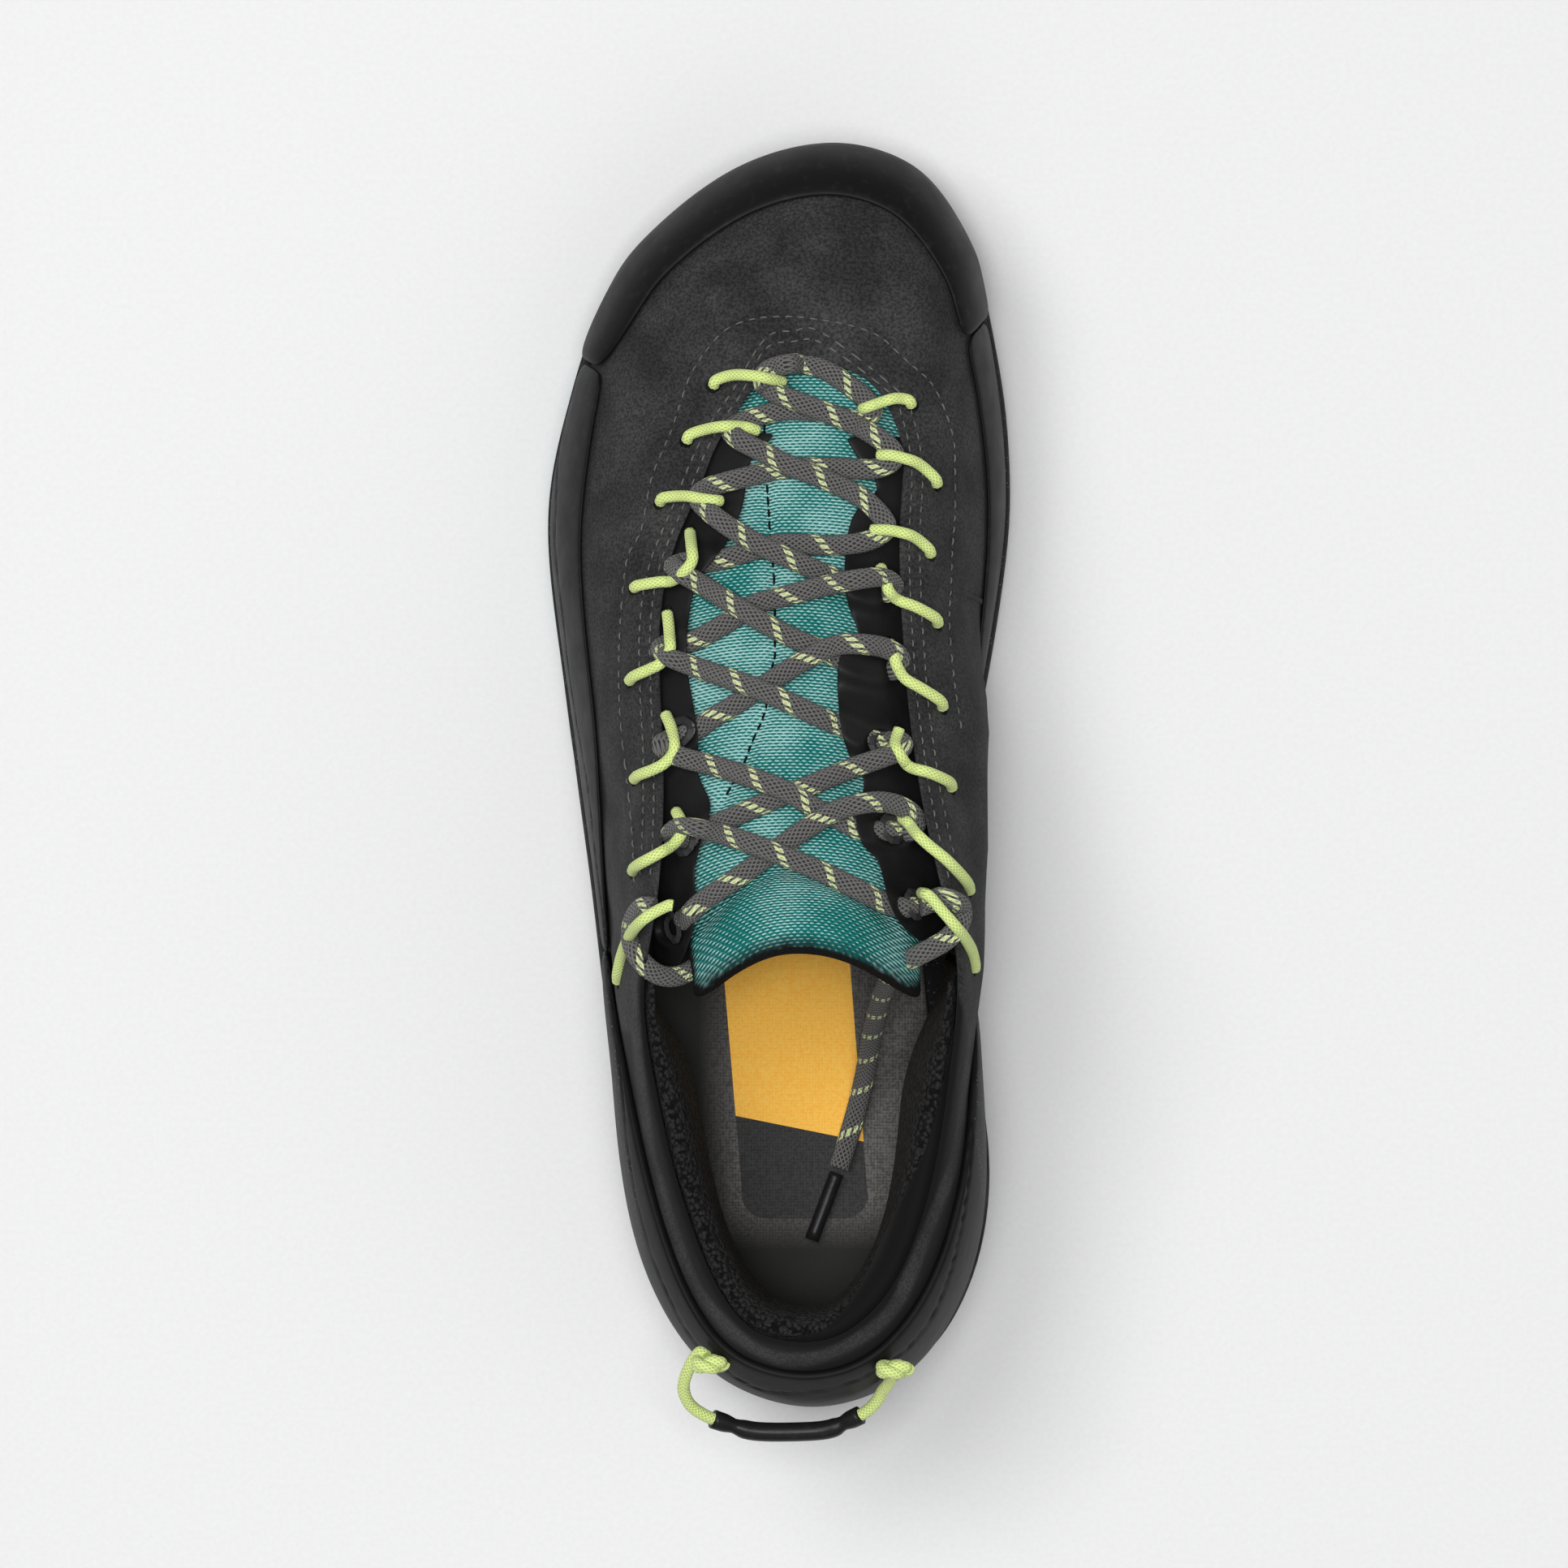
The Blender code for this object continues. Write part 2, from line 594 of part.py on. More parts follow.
def section_row(row, side):
    """Foot, rim, roundness and bulge of one section on one side."""
    lateral = side == "lateral"
    rim = [
        (row.lat_x if lateral else row.med_x) * BALL_WIDTH,
        (row.lat_y if lateral else row.med_y) * SOLE_LENGTH,
        (row.lat_z if lateral else row.med_z) * COLLAR_HEIGHT,
    ]
    bulge = (row.lat_bulge if lateral else row.med_bulge) * BALL_WIDTH
    return foot_point(side, row.share) + rim + [row.round, bulge]


def upper_sections():
    """All sections around the upper: heel, lateral side, toe, medial side."""
    rows = [section_row(row, "lateral") for row in SECTIONS]
    rows += [section_row(row, "medial") for row in SECTIONS[-2:0:-1]]
    return curve_through(rows, UPPER_STEPS, closed=True)


UPPER_SECTIONS = upper_sections()
UPPER_COLUMNS = len(UPPER_SECTIONS)


def form(columns, rise):
    """Points of the upper's outer form, at columns around it and shares of the way to its rim."""
    rows = UPPER_SECTIONS[np.asarray(columns) % UPPER_COLUMNS]
    rise = np.asarray(rise, float)[..., None]
    foot, rim = rows[..., 0:3], rows[..., 3:6]
    rounding, bulge = rows[..., 6:7], rows[..., 7:8]
    turn = rise * math.pi / 2
    lean = rounding * (1 - np.cos(turn)) + (1 - rounding) * rise
    climb = rounding * np.sin(turn) + (1 - rounding) * rise
    shares = np.concatenate([lean, lean, climb], axis=-1)
    before = UPPER_SECTIONS[(np.asarray(columns) - 1) % UPPER_COLUMNS][..., 0:2]
    after = UPPER_SECTIONS[(np.asarray(columns) + 1) % UPPER_COLUMNS][..., 0:2]
    along = after - before
    outward = np.stack([-along[..., 1], along[..., 0], np.zeros(along.shape[:-1])], axis=-1)
    outward = outward / np.linalg.norm(outward, axis=-1, keepdims=True)
    return foot + (rim - foot) * shares + outward * bulge * np.sin(rise * math.pi)


def skin(columns, rise, lift):
    """Points of the upper's form moved outwards by lift."""
    columns = np.asarray(columns)
    rise = np.asarray(rise, float)
    small = 0.01
    along = form(columns + 1, rise) - form(columns - 1, rise)
    up = form(columns, np.minimum(rise + small, 1.0)) - form(columns, rise - small)
    normal = np.cross(up, along)
    normal = normal / np.linalg.norm(normal, axis=-1, keepdims=True)
    return form(columns, rise) + normal * np.asarray(lift, float)[..., None]


def column_at(side, share):
    """Columns from the heel tip to a share of the sole's length along one side."""
    half = UPPER_COLUMNS // 2
    if share <= 0 or share >= 1:
        return half if share >= 1 else 0
    steps = np.arange(half + 1)
    columns = steps if side == "lateral" else -steps
    shares = UPPER_SECTIONS[columns % UPPER_COLUMNS][:, 1] / SOLE_LENGTH
    return int(steps[np.argmin(np.abs(shares - share))])


def run_of_columns(table):
    """Columns from a table's first row to its last, with each row's place among them."""
    over_toe = any(row.share >= 1 for row in table)
    places = []
    for row in table:
        place = column_at(row.side, row.share)
        if row.side == "medial":
            place = UPPER_COLUMNS - place if over_toe else -place
        places.append(place)
    if places[0] > places[-1]:
        places = places[::-1]
        table = table[::-1]
    return np.arange(places[0], places[-1] + 1), places, table


def clean(name, vertices, faces, colour, roughness, metallic=0.0, flat_angle=40):
    """A named object of one closed body, faces out, with its own material."""
    mesh = bpy.data.meshes.new(name)
    mesh.from_pydata([tuple(float(c) for c in point) for point in vertices], [], faces)
    body = bmesh.new()
    body.from_mesh(mesh)
    bmesh.ops.recalc_face_normals(body, faces=body.faces)
    body.to_mesh(mesh)
    body.free()
    mesh.shade_smooth()
    mesh.set_sharp_from_angle(angle=math.radians(flat_angle))
    shape = bpy.data.objects.new(name, mesh)
    bpy.context.scene.collection.objects.link(shape)
    finish(shape, colour, roughness, metallic)
    return shape


def finish(shape, colour, roughness, metallic=0.0):
    """Give an object its own plain material."""
    material = bpy.data.materials.new(shape.name)
    material.use_nodes = True
    shader = material.node_tree.nodes["Principled BSDF"]
    shader.inputs["Base Color"].default_value = (*colour, 1.0)
    shader.inputs["Roughness"].default_value = roughness
    shader.inputs["Metallic"].default_value = metallic
    shape.data.materials.append(material)


def sleeve(outer, inner, closed):
    """Vertices and faces of a wall between two grids of [column, row] points."""
    outer = np.asarray(outer)
    inner = np.asarray(inner)
    columns, rows = outer.shape[:2]
    vertices = np.concatenate([outer.reshape(-1, 3), inner.reshape(-1, 3)])
    inside = columns * rows
    faces = []
    last = columns if closed else columns - 1
    for i in range(last):
        j = (i + 1) % columns
        for k in range(rows - 1):
            a, b = i * rows + k, j * rows + k
            faces.append((a, b, b + 1, a + 1))
            faces.append((inside + a, inside + a + 1, inside + b + 1, inside + b))
        foot_a, foot_b = i * rows, j * rows
        rim_a, rim_b = foot_a + rows - 1, foot_b + rows - 1
        faces.append((foot_a, inside + foot_a, inside + foot_b, foot_b))
        faces.append((rim_a, rim_b, inside + rim_b, inside + rim_a))
    if not closed:
        for i, turn in ((0, 1), (columns - 1, -1)):
            for k in range(rows - 1):
                a = i * rows + k
                faces.append((a, a + 1, inside + a + 1, inside + a)[::turn])
    return vertices, faces


def slab(rings):
    """Vertices and faces of a solid through closed rings, each run heel, lateral, toe, medial."""
    count = len(rings[0])
    half = count // 2
    vertices = np.concatenate(rings)
    faces = []
    for level in range(len(rings) - 1):
        for i in range(count):
            j = (i + 1) % count
            a, b = level * count + i, level * count + j
            faces.append((a, b, b + count, a + count))
    for start in (0, (len(rings) - 1) * count):
        for i in range(half):
            left, right = (i, i + 1), (count - i, count - i - 1)
            cap = [start + left[0], start + left[1], start + right[1] % count, start + right[0] % count]
            faces.append(tuple(dict.fromkeys(cap)))
    return vertices, faces


def tube(name, points, diameter, colour, roughness):
    """A cord of one open run with filled ends."""
    data = bpy.data.curves.new(name, "CURVE")
    data.dimensions = "3D"
    data.bevel_depth = diameter / 2
    data.bevel_resolution = 2
    data.use_fill_caps = True
    spline = data.splines.new("POLY")
    spline.points.add(len(points) - 1)
    for point, place in zip(spline.points, points):
        point.co = (*[float(c) for c in place], 1.0)
    shape = bpy.data.objects.new(name, data)
    bpy.context.scene.collection.objects.link(shape)
    finish(shape, colour, roughness)
    return shape


def place_on_last(x, y, z=0.0):
    """A point given as shares of the ball width, the sole's length and the collar's height."""
    return np.array([x * BALL_WIDTH, y * SOLE_LENGTH, z * COLLAR_HEIGHT])


# Sole


def plate_height(y, share):
    """Height of the rubber plate at y, at a share of its thickness."""
    return sole_height("tread", y) + LUG_DEPTH + OUTSOLE_PLATE * share


def midsole_height(y, rise):
    """Height of the midsole's side at y, at a share of the way up to its ledge."""
    foot = plate_height(y, 1.0) + CLEARANCE
    return foot + (sole_height("ledge", y) - foot) * rise


def bed_height(y, above):
    """Height of the dished bed at y, or that much above it."""
    return sole_height("bed", y) + above


def build_outsole():
    """The rubber plate, curved at heel, arch and toe, with its lugs fused on."""
    rings = [
        ring_at(0.0030, lambda y: plate_height(y, 0.0)),
        ring_at(0.0006, lambda y: plate_height(y, 0.3)),
        ring_at(0.0, lambda y: plate_height(y, 0.6)),
        ring_at(0.0004, lambda y: plate_height(y, 1.0)),
    ]
    vertices, faces = slab(rings)
    plate = clean("outsole", vertices, faces, (0.012, 0.012, 0.013), 0.6, flat_angle=35)
    lugs = build_lugs()
    union = plate.modifiers.new("lugs", "BOOLEAN")
    union.operation = "UNION"
    union.object = lugs
    return plate


def inside_outline(x, y, margin):
    """Whether a point lies inside the sole's outline by a margin."""
    plan = OUTLINE + INWARD * margin
    after = np.roll(plan, -1, axis=0)
    crosses = (plan[:, 1] > y) != (after[:, 1] > y)
    meets = plan[:, 0] + (y - plan[:, 1]) * (after[:, 0] - plan[:, 0]) / (
        after[:, 1] - plan[:, 1] + 1e-12
    )
    return int(np.sum(crosses & (x < meets))) % 2 == 1


def lug(x, y):
    """Vertices and faces of one six-sided lug, narrower at its foot, that runs into the plate."""
    foot = float(sole_height("tread", y))
    levels = ((foot, 0.88), (foot + LUG_DEPTH * 1.35, 1.08))
    vertices = []
    for height, spread in levels:
        for corner in range(6):
            angle = math.radians(60 * corner)
            reach = LUG_ACROSS / 2 * spread
            vertices.append((x + reach * math.cos(angle), y + reach * math.sin(angle), height))
    faces = [tuple(range(5, -1, -1)), tuple(range(6, 12))]
    for corner in range(6):
        after = (corner + 1) % 6
        faces.append((corner, after, after + 6, corner + 6))
    return vertices, faces


def build_lugs():
    """All lugs in staggered rows, joined in one guide for the union with the plate."""
    vertices = []
    faces = []
    row_gap = LUG_PITCH * math.sin(math.radians(60))
    rows = int(SOLE_LENGTH / row_gap) + 1
    across = int(BALL_WIDTH / LUG_PITCH) + 1
    for row in range(rows):
        y = LUG_MARGIN + 0.0035 + row * row_gap
        shift = LUG_PITCH / 2 if row % 2 else 0.0
        for place in range(-across, across + 1):
            x = place * LUG_PITCH + shift
            if not inside_outline(x, y, LUG_MARGIN):
                continue
            points, sides = lug(x, y)
            faces += [tuple(len(vertices) + i for i in side) for side in sides]
            vertices += points
    guide = clean("lug_guide", vertices, faces, (0.012, 0.012, 0.013), 0.6)
    guide.hide_render = True
    guide.display_type = "WIRE"
    return guide


def build_midsole():
    """Foam with a stepped, ribbed side and a raised edge around its dished bed."""
    y = OUTLINE[:, 1]
    ribbed = (y / SOLE_LENGTH < 0.5) & (np.arange(len(y)) % 2 == 1)
    rings = []
    for step in MIDSOLE_SIDE:
        inset = step.inset + RIB_DEPTH * step.ribs * ribbed
        rings.append(ring_at(inset, lambda y, rise=step.rise: midsole_height(y, rise)))
    lip = upper_inset(y) + UPPER_WALL
    rings.append(ring_at(lip + DISH_STEP / 4, lambda y: midsole_height(y, 1.0)))
    rings.append(ring_at(lip + DISH_STEP, lambda y: bed_height(y, 0.0)))
    vertices, faces = slab(rings)
    return clean("midsole", vertices, faces, (0.035, 0.036, 0.038), 0.8, flat_angle=30)


def build_insole():
    """The footbed, laid in the midsole's dish, with a cupped edge."""
    margin = upper_inset(OUTLINE[:, 1]) + UPPER_WALL + DISH_STEP + CLEARANCE
    rings = [
        ring_at(margin + 0.0004, lambda y: bed_height(y, CLEARANCE)),
        ring_at(margin, lambda y: bed_height(y, CLEARANCE + INSOLE_THICKNESS * 0.9)),
        ring_at(margin + 0.0012, lambda y: bed_height(y, CLEARANCE + INSOLE_THICKNESS * 1.25)),
        ring_at(margin + 0.0055, lambda y: bed_height(y, CLEARANCE + INSOLE_THICKNESS)),
    ]
    vertices, faces = slab(rings)
    return clean("insole", vertices, faces, (0.10, 0.095, 0.09), 0.9, flat_angle=60)


# Upper and its overlays


def grid_of(columns, rises, lift):
    """Skin points for every column at every rise, as [column, row]."""
    columns = np.repeat(np.asarray(columns)[:, None], len(rises), axis=1)
    rises = np.repeat(np.asarray(rises, float)[None, :], len(columns), axis=0)
    return skin(columns, rises, np.full(rises.shape, lift))


def build_upper():
    """The suede shell: one wall from the sole to the collar and throat, open at both."""
    columns = np.arange(UPPER_COLUMNS)
    rises = np.linspace(0, 1, UPPER_LEVELS + 1)
    outer = grid_of(columns, rises, 0.0)
    inner = grid_of(columns, rises, -UPPER_WALL)
    inner[:, 0, 2] = outer[:, 0, 2]
    vertices, faces = sleeve(outer, inner, closed=True)
    return clean("upper", vertices, faces, (0.048, 0.048, 0.049), 0.95, flat_angle=50)


def build_overlay(name, table, thickness, levels, colour, roughness):
    """A band laid on the upper between a lower and an upper edge."""
    columns, places, table = run_of_columns(table)
    low = eased(places, column(table, "low"), columns)
    high = eased(places, column(table, "high"), columns)
    shares = np.linspace(0, 1, levels + 1)
    rises = low[:, None] + (high - low)[:, None] * shares[None, :]
    wide = np.repeat(columns[:, None], levels + 1, axis=1)
    lift = np.full(rises.shape, CLEARANCE)
    body = np.full(rises.shape, CLEARANCE + thickness)
    body[:, -1] = CLEARANCE + thickness * 0.45
    outer = skin(wide, rises, body)
    inner = skin(wide, rises, lift)
    outer[:, 0, 2] = inner[:, 0, 2]
    for last, before in ((0, 1), (-1, -2)):
        for grid in (outer, inner):
            back = grid[before] - grid[last]
            grid[last] += back / np.linalg.norm(back, axis=1)[:, None] * CLEARANCE
    vertices, faces = sleeve(outer, inner, closed=False)
    return clean(name, vertices, faces, colour, roughness, flat_angle=45)


def build_collar_lining():
    """The padded collar inside the heel, thickest round the ankle, with a rolled top."""
    columns, places, table = run_of_columns(COLLAR_RUN)
    swell = eased(places, column(table, "depth"), columns)[:, None]
    rises = np.array(column(COLLAR_PADDING, "rise"))
    depths = np.array(column(COLLAR_PADDING, "depth")) * COLLAR_PAD
    wide = np.repeat(columns[:, None], len(rises), axis=1)
    rise_grid = np.repeat(rises[None, :], len(columns), axis=0)
    back = UPPER_WALL + CLEARANCE
    outer = skin(wide, rise_grid, np.full(rise_grid.shape, -back))
    inner = skin(wide, rise_grid, -(back + np.maximum(depths[None, :] * swell, 0.0016)))
    roll = skin(columns, np.full(len(columns), 1.0), np.full(len(columns), -(back + 0.0014)))
    roll[:, 2] += 0.0006
    vertices, faces = rolled_sleeve(outer, inner, roll)
    return clean("collar_lining", vertices, faces, (0.012, 0.012, 0.012), 0.95, flat_angle=70)


def rolled_sleeve(outer, inner, roll):
    """A wall between two grids whose top edge is carried over one more line of points."""
    vertices, faces = sleeve(
        np.concatenate([outer, roll[:, None, :]], axis=1),
        np.concatenate([inner, roll[:, None, :]], axis=1),
        closed=False,
    )
    merged = {}
    kept = []
    renumber = []
    for point in vertices:
        key = tuple(np.round(point, 7))
        if key not in merged:
            merged[key] = len(kept)
            kept.append(point)
        renumber.append(merged[key])
    tidy = []
    for face in faces:
        corners = tuple(dict.fromkeys(renumber[i] for i in face))
        if len(corners) > 2:
            tidy.append(corners)
    return kept, tidy


# Tongue and eyestays


def tongue_grid(widen=0):
    """Top points of the tongue as [row, column], with more columns on each side for a guide."""
    steps = 2
    rows = curve_through([list(row) for row in TONGUE_ROWS], steps)
    half = TONGUE_COLUMNS // 2 + widen
    shares = np.arange(-half, half + 1) / (TONGUE_COLUMNS // 2)
    grid = []
    for y, x, z, lateral, medial, drop, sweep, thickness in rows:
        line = []
        for share in shares:
            half = lateral if share < 0 else medial
            crown = abs(share) ** 2.3
            line.append(place_on_last(x + share * half, y - sweep * crown, z - drop * crown))
        grid.append(line)
    return np.array(grid), rows[:, 7]


def build_tongue():
    """The mesh tongue under the eyestays, swelling into its padded cap."""
    top, thickness = tongue_grid()
    along = np.gradient(top, axis=0)
    across = np.gradient(top, axis=1)
    normal = np.cross(along, across)
    normal = normal / np.linalg.norm(normal, axis=-1, keepdims=True)
    normal = normal * np.sign(normal[..., 2:3])
    shares = np.linspace(-1, 1, TONGUE_COLUMNS + 1)
    depth = thickness[:, None] * (1 - 0.45 * shares[None, :] ** 4)
    under = top - normal * depth[..., None]
    vertices, faces = sleeve(top, under, closed=False)
    return clean("tongue", vertices, faces, (0.10, 0.33, 0.31), 0.9, flat_angle=60)


def surface_of(grid):
    """A tree for finding the height of a grid of points."""
    rows, columns = grid.shape[:2]
    points = [Vector(point) for point in grid.reshape(-1, 3)]
    faces = []
    for i in range(rows - 1):
        for k in range(columns - 1):
            a = i * columns + k
            faces.append((a, a + 1, a + columns + 1, a + columns))
    return BVHTree.FromPolygons(points, faces)


def tree_of(*names):
    """A tree for casting rays onto the meshes of some pieces."""
    points = []
    faces = []
    for name in names:
        mesh = bpy.data.objects[name].data
        first = len(points)
        points += [vertex.co.copy() for vertex in mesh.vertices]
        faces += [tuple(first + i for i in polygon.vertices) for polygon in mesh.polygons]
    return BVHTree.FromPolygons(points, faces)


def roof_over(tree, x, y):
    """The lowest point of the shell's roof over x and y, above the lower part of its walls."""
    hit = tree.ray_cast(Vector((x, y, COLLAR_HEIGHT * 0.6)), Vector((0, 0, 1)))
    return hit[0].z if hit[0] is not None else None


def height_on(tree, x, y):
    """The highest point of a tree's surface over x and y, or None."""
    hit = tree.ray_cast(Vector((x, y, 1.0)), Vector((0, 0, -1)))
    return hit[0].z if hit[0] is not None else None


def rim_x(side, y):
    """Where the suede's rim lies beside the throat or collar at y."""
    half = UPPER_COLUMNS // 2
    columns = np.arange(half + 1) if side == "lateral" else -np.arange(half + 1)
    rim = UPPER_SECTIONS[columns % UPPER_COLUMNS]
    return float(np.interp(y, rim[:, 4], rim[:, 3]))


def build_eyestay(side, table, instep, shell):
    """A smooth flap on the tongue, scalloped inside and tucked under the suede outside."""
    across = 3
    sign = -1 if side == "lateral" else 1
    outer = []
    inner = []
    for share_y, share_x, tuck in curve_through([list(row) for row in table], 2):
        y = share_y * SOLE_LENGTH
        start = share_x * BALL_WIDTH
        stop = rim_x(side, y) + sign * EYESTAY_TUCK * tuck
        top = []
        under = []
        for place in range(across + 1):
            x = start + (stop - start) * place / across
            z = height_on(instep, x, y) + EYESTAY_SEAT
            roof = roof_over(shell, x, y)
            if roof is not None:
                z = min(z, roof - EYESTAY_THICKNESS * 1.15 - CLEARANCE * 2)
            under.append((x, y, z))
            top.append((x, y, z + EYESTAY_THICKNESS * 1.15))
        outer.append(top)
        inner.append(under)
    vertices, faces = sleeve(outer, inner, closed=False)
    return clean("eyestay_" + side, vertices, faces, (0.013, 0.013, 0.014), 0.4, flat_angle=50)


# Lacing and cords


def from_view(across, down, height):
    """The place on the last of a point seen from above at that height."""
    shrink = 1 - height / VIEW_HEIGHT
    across = VIEW_EYE + (across - VIEW_EYE) * shrink
    down = VIEW_EYE + (down - VIEW_EYE) * shrink
    x = (across - VIEW_AXIS) / VIEW_BALL * BALL_WIDTH
    y = (VIEW_HEEL - down) / (VIEW_HEEL - VIEW_TOE) * SOLE_LENGTH
    return x, y


def seen_on(tree, across, down):
    """Where a point seen from above lies on a surface."""
    height = COLLAR_HEIGHT * 0.8
    for _ in range(4):
        x, y = from_view(across, down, height)
        found = height_on(tree, x, y)
        height = found if found is not None else height
    return x, y


def resting_height(tree, x, y, radius):
    """How high the middle of a ball of that radius lies over x and y when it touches the surface."""
    best = -1.0
    for ring, count in ((0.0, 1), (0.5, 6), (0.95, 12)):
        for turn in range(count):
            angle = 2 * math.pi * turn / count
            reach = radius * ring
            found = height_on(tree, x + reach * math.cos(angle), y + reach * math.sin(angle))
            if found is not None:
                best = max(best, found + math.sqrt(radius**2 - reach**2))
    return best


def laid_path(tree, route, diameter):
    """A cord's path over a surface through places seen from above, each with its layer."""
    radius = diameter / 2 + CLEARANCE * 1.5
    fine = 5
    samples = curve_through([list(point) for point in route], fine)
    plan = [seen_on(tree, across, down) for across, down, _ in samples]
    need = np.array([resting_height(tree, x, y, radius) for x, y in plan])
    need = need + samples[:, 2] * (diameter + CLEARANCE * 2)
    height = need[::fine].copy()
    share = np.arange(fine + 1) / fine
    for _ in range(3):
        for i in range(len(height) - 1):
            straight = height[i] + (height[i + 1] - height[i]) * share
            short = max(0.0, float(np.max(need[i * fine : (i + 1) * fine + 1] - straight)))
            height[i] += short
            height[i + 1] += short
    return [(plan[i * fine][0], plan[i * fine][1], height[i]) for i in range(len(height))]


def free_path(route, steps):
    """A smooth path through places that have their own height."""
    points = []
    for place in route:
        height = place.height * COLLAR_HEIGHT
        points.append((*from_view(place.across, place.down, height), height))
    return curve_through(points, steps)


def build_eyelets():
    """Rings that lie on the eyestays at the top three rows."""
    for side, places in (("lateral", EYELETS_LATERAL), ("medial", EYELETS_MEDIAL)):
        tree = tree_of("eyestay_" + side)
        for number, place in enumerate(places):
            x, y = seen_on(tree, *place)
            build_eyelet(f"eyelet_{side}_{number + 6}", tree, x, y)


def build_eyelet(name, tree, x, y):
    """One ring, tilted to the surface under it."""
    hits = []
    for turn in range(3):
        angle = 2 * math.pi * turn / 3
        px = x + EYELET_RADIUS * math.cos(angle)
        py = y + EYELET_RADIUS * math.sin(angle)
        hits.append(Vector((px, py, height_on(tree, px, py))))
    normal = (hits[1] - hits[0]).cross(hits[2] - hits[0]).normalized()
    middle = (hits[0] + hits[1] + hits[2]) / 3 + normal * (EYELET_WIRE + CLEARANCE * 2)
    side = normal.orthogonal().normalized()
    front = normal.cross(side)
    around, across = 10, 4
    vertices = []
    faces = []
    for i in range(around):
        turn = 2 * math.pi * i / around
        outward = side * math.cos(turn) + front * math.sin(turn)
        for k in range(across):
            tip = 2 * math.pi * k / across
            reach = EYELET_RADIUS + EYELET_WIRE * 1.5 * math.cos(tip)
            vertices.append(middle + outward * reach + normal * EYELET_WIRE * math.sin(tip))
            j = (i + 1) % around
            m = (k + 1) % across
            faces.append((i * across + k, j * across + k, j * across + m, i * across + m))
    clean(name, vertices, faces, (0.03, 0.03, 0.032), 0.5, flat_angle=80)


def build_loops(tree, colour):
    """The short lime cords that carry the lace, one to a row on each side."""
    for side, loops in (("lateral", LOOPS_LATERAL), ("medial", LOOPS_MEDIAL)):
        for number, places in enumerate(loops):
            route = [(*place, 0.0) for place in places]
            path = laid_path(tree, route, LOOP_DIAMETER)
            tube(f"loop_{side}_{number + 1}", path, LOOP_DIAMETER, colour, 0.8)


def outside_heel(tree, point, distance):
    """A point moved back until it is that far outside the heel's surface."""
    point = Vector(point)
    middle = Vector((0, SOLE_LENGTH * 0.2, point.z))
    away = (point - middle).normalized()
    hit, normal, _, _ = tree.ray_cast(point + away * 0.05, -away)
    if hit is None:
        return point
    wanted = hit + away * (distance / max(0.3, normal.dot(away)))
    return wanted if (wanted - middle).length > (point - middle).length else point


def build_knot(name, tree, across, down, share, colour):
    """A small lumpy knot on the outside of the heel."""
    height = share * COLLAR_HEIGHT
    start = (*from_view(across, down, height), height)
    place = outside_heel(tree, start, KNOT_RADIUS * 1.1 + CLEARANCE * 2)
    body = bmesh.new()
    bmesh.ops.create_icosphere(body, subdivisions=2, radius=KNOT_RADIUS)
    for vertex in body.verts:
        turn = math.atan2(vertex.co.z, vertex.co.x)
        vertex.co *= 1 + 0.10 * math.cos(3 * turn)
        vertex.co += place
    mesh = bpy.data.meshes.new(name)
    body.to_mesh(mesh)
    body.free()
    mesh.shade_smooth()
    shape = bpy.data.objects.new(name, mesh)
    bpy.context.scene.collection.objects.link(shape)
    finish(shape, colour, 0.8)
    return place


def cord_from(knot, path, diameter):
    """A cord's path with its first part cut back to the outside of its knot."""
    reach = KNOT_RADIUS * 1.1 + CLEARANCE * 2
    rest = [point for point in path if (Vector(point) - knot).length > reach + diameter]
    first = knot + (Vector(rest[0]) - knot).normalized() * reach
    return [tuple(first)] + [tuple(point) for point in rest]


def build_cords(tree, heel):
    """The lace, its ends and the heel's pull cord."""
    grey = (0.07, 0.068, 0.066)
    lime = (0.70, 0.86, 0.30)
    black = (0.012, 0.012, 0.013)
    lace = LACE_FROM_LATERAL + LACE_FROM_MEDIAL[::-1]
    tube("lace", laid_path(tree, lace, LACE_DIAMETER), LACE_DIAMETER, grey, 0.9)
    ends = (("lace_end_lateral", END_LATERAL), ("lace_end_medial", END_MEDIAL))
    for name, places in ends:
        route = [(*place, 0.0) for place in places]
        tube(name, laid_path(tree, route, LACE_DIAMETER), LACE_DIAMETER, grey, 0.9)
    tube("lace_end_inside", free_path(END_INSIDE, 1), LACE_DIAMETER, grey, 0.9)
    tube("lace_tip", free_path(END_TIP, 1), LACE_DIAMETER * 0.75, black, 0.35)
    tube("pull_sleeve", hang(heel, PULL_SLEEVE, PULL_SLEEVE_DIAMETER), PULL_SLEEVE_DIAMETER, black, 0.35)
    cords = {"lateral": PULL_LATERAL, "medial": PULL_MEDIAL[::-1]}
    for side, across, down, share in KNOTS:
        knot = build_knot("pull_knot_" + side, heel, across, down, share, lime)
        path = cord_from(knot, hang(heel, cords[side], PULL_CORD_DIAMETER), PULL_CORD_DIAMETER)
        tube("pull_cord_" + side, path, PULL_CORD_DIAMETER, lime, 0.8)


def hang(heel, route, diameter):
    """A cord's path that stays outside the heel."""
    return [outside_heel(heel, point, diameter / 2 + CLEARANCE * 2) for point in free_path(route, 2)]


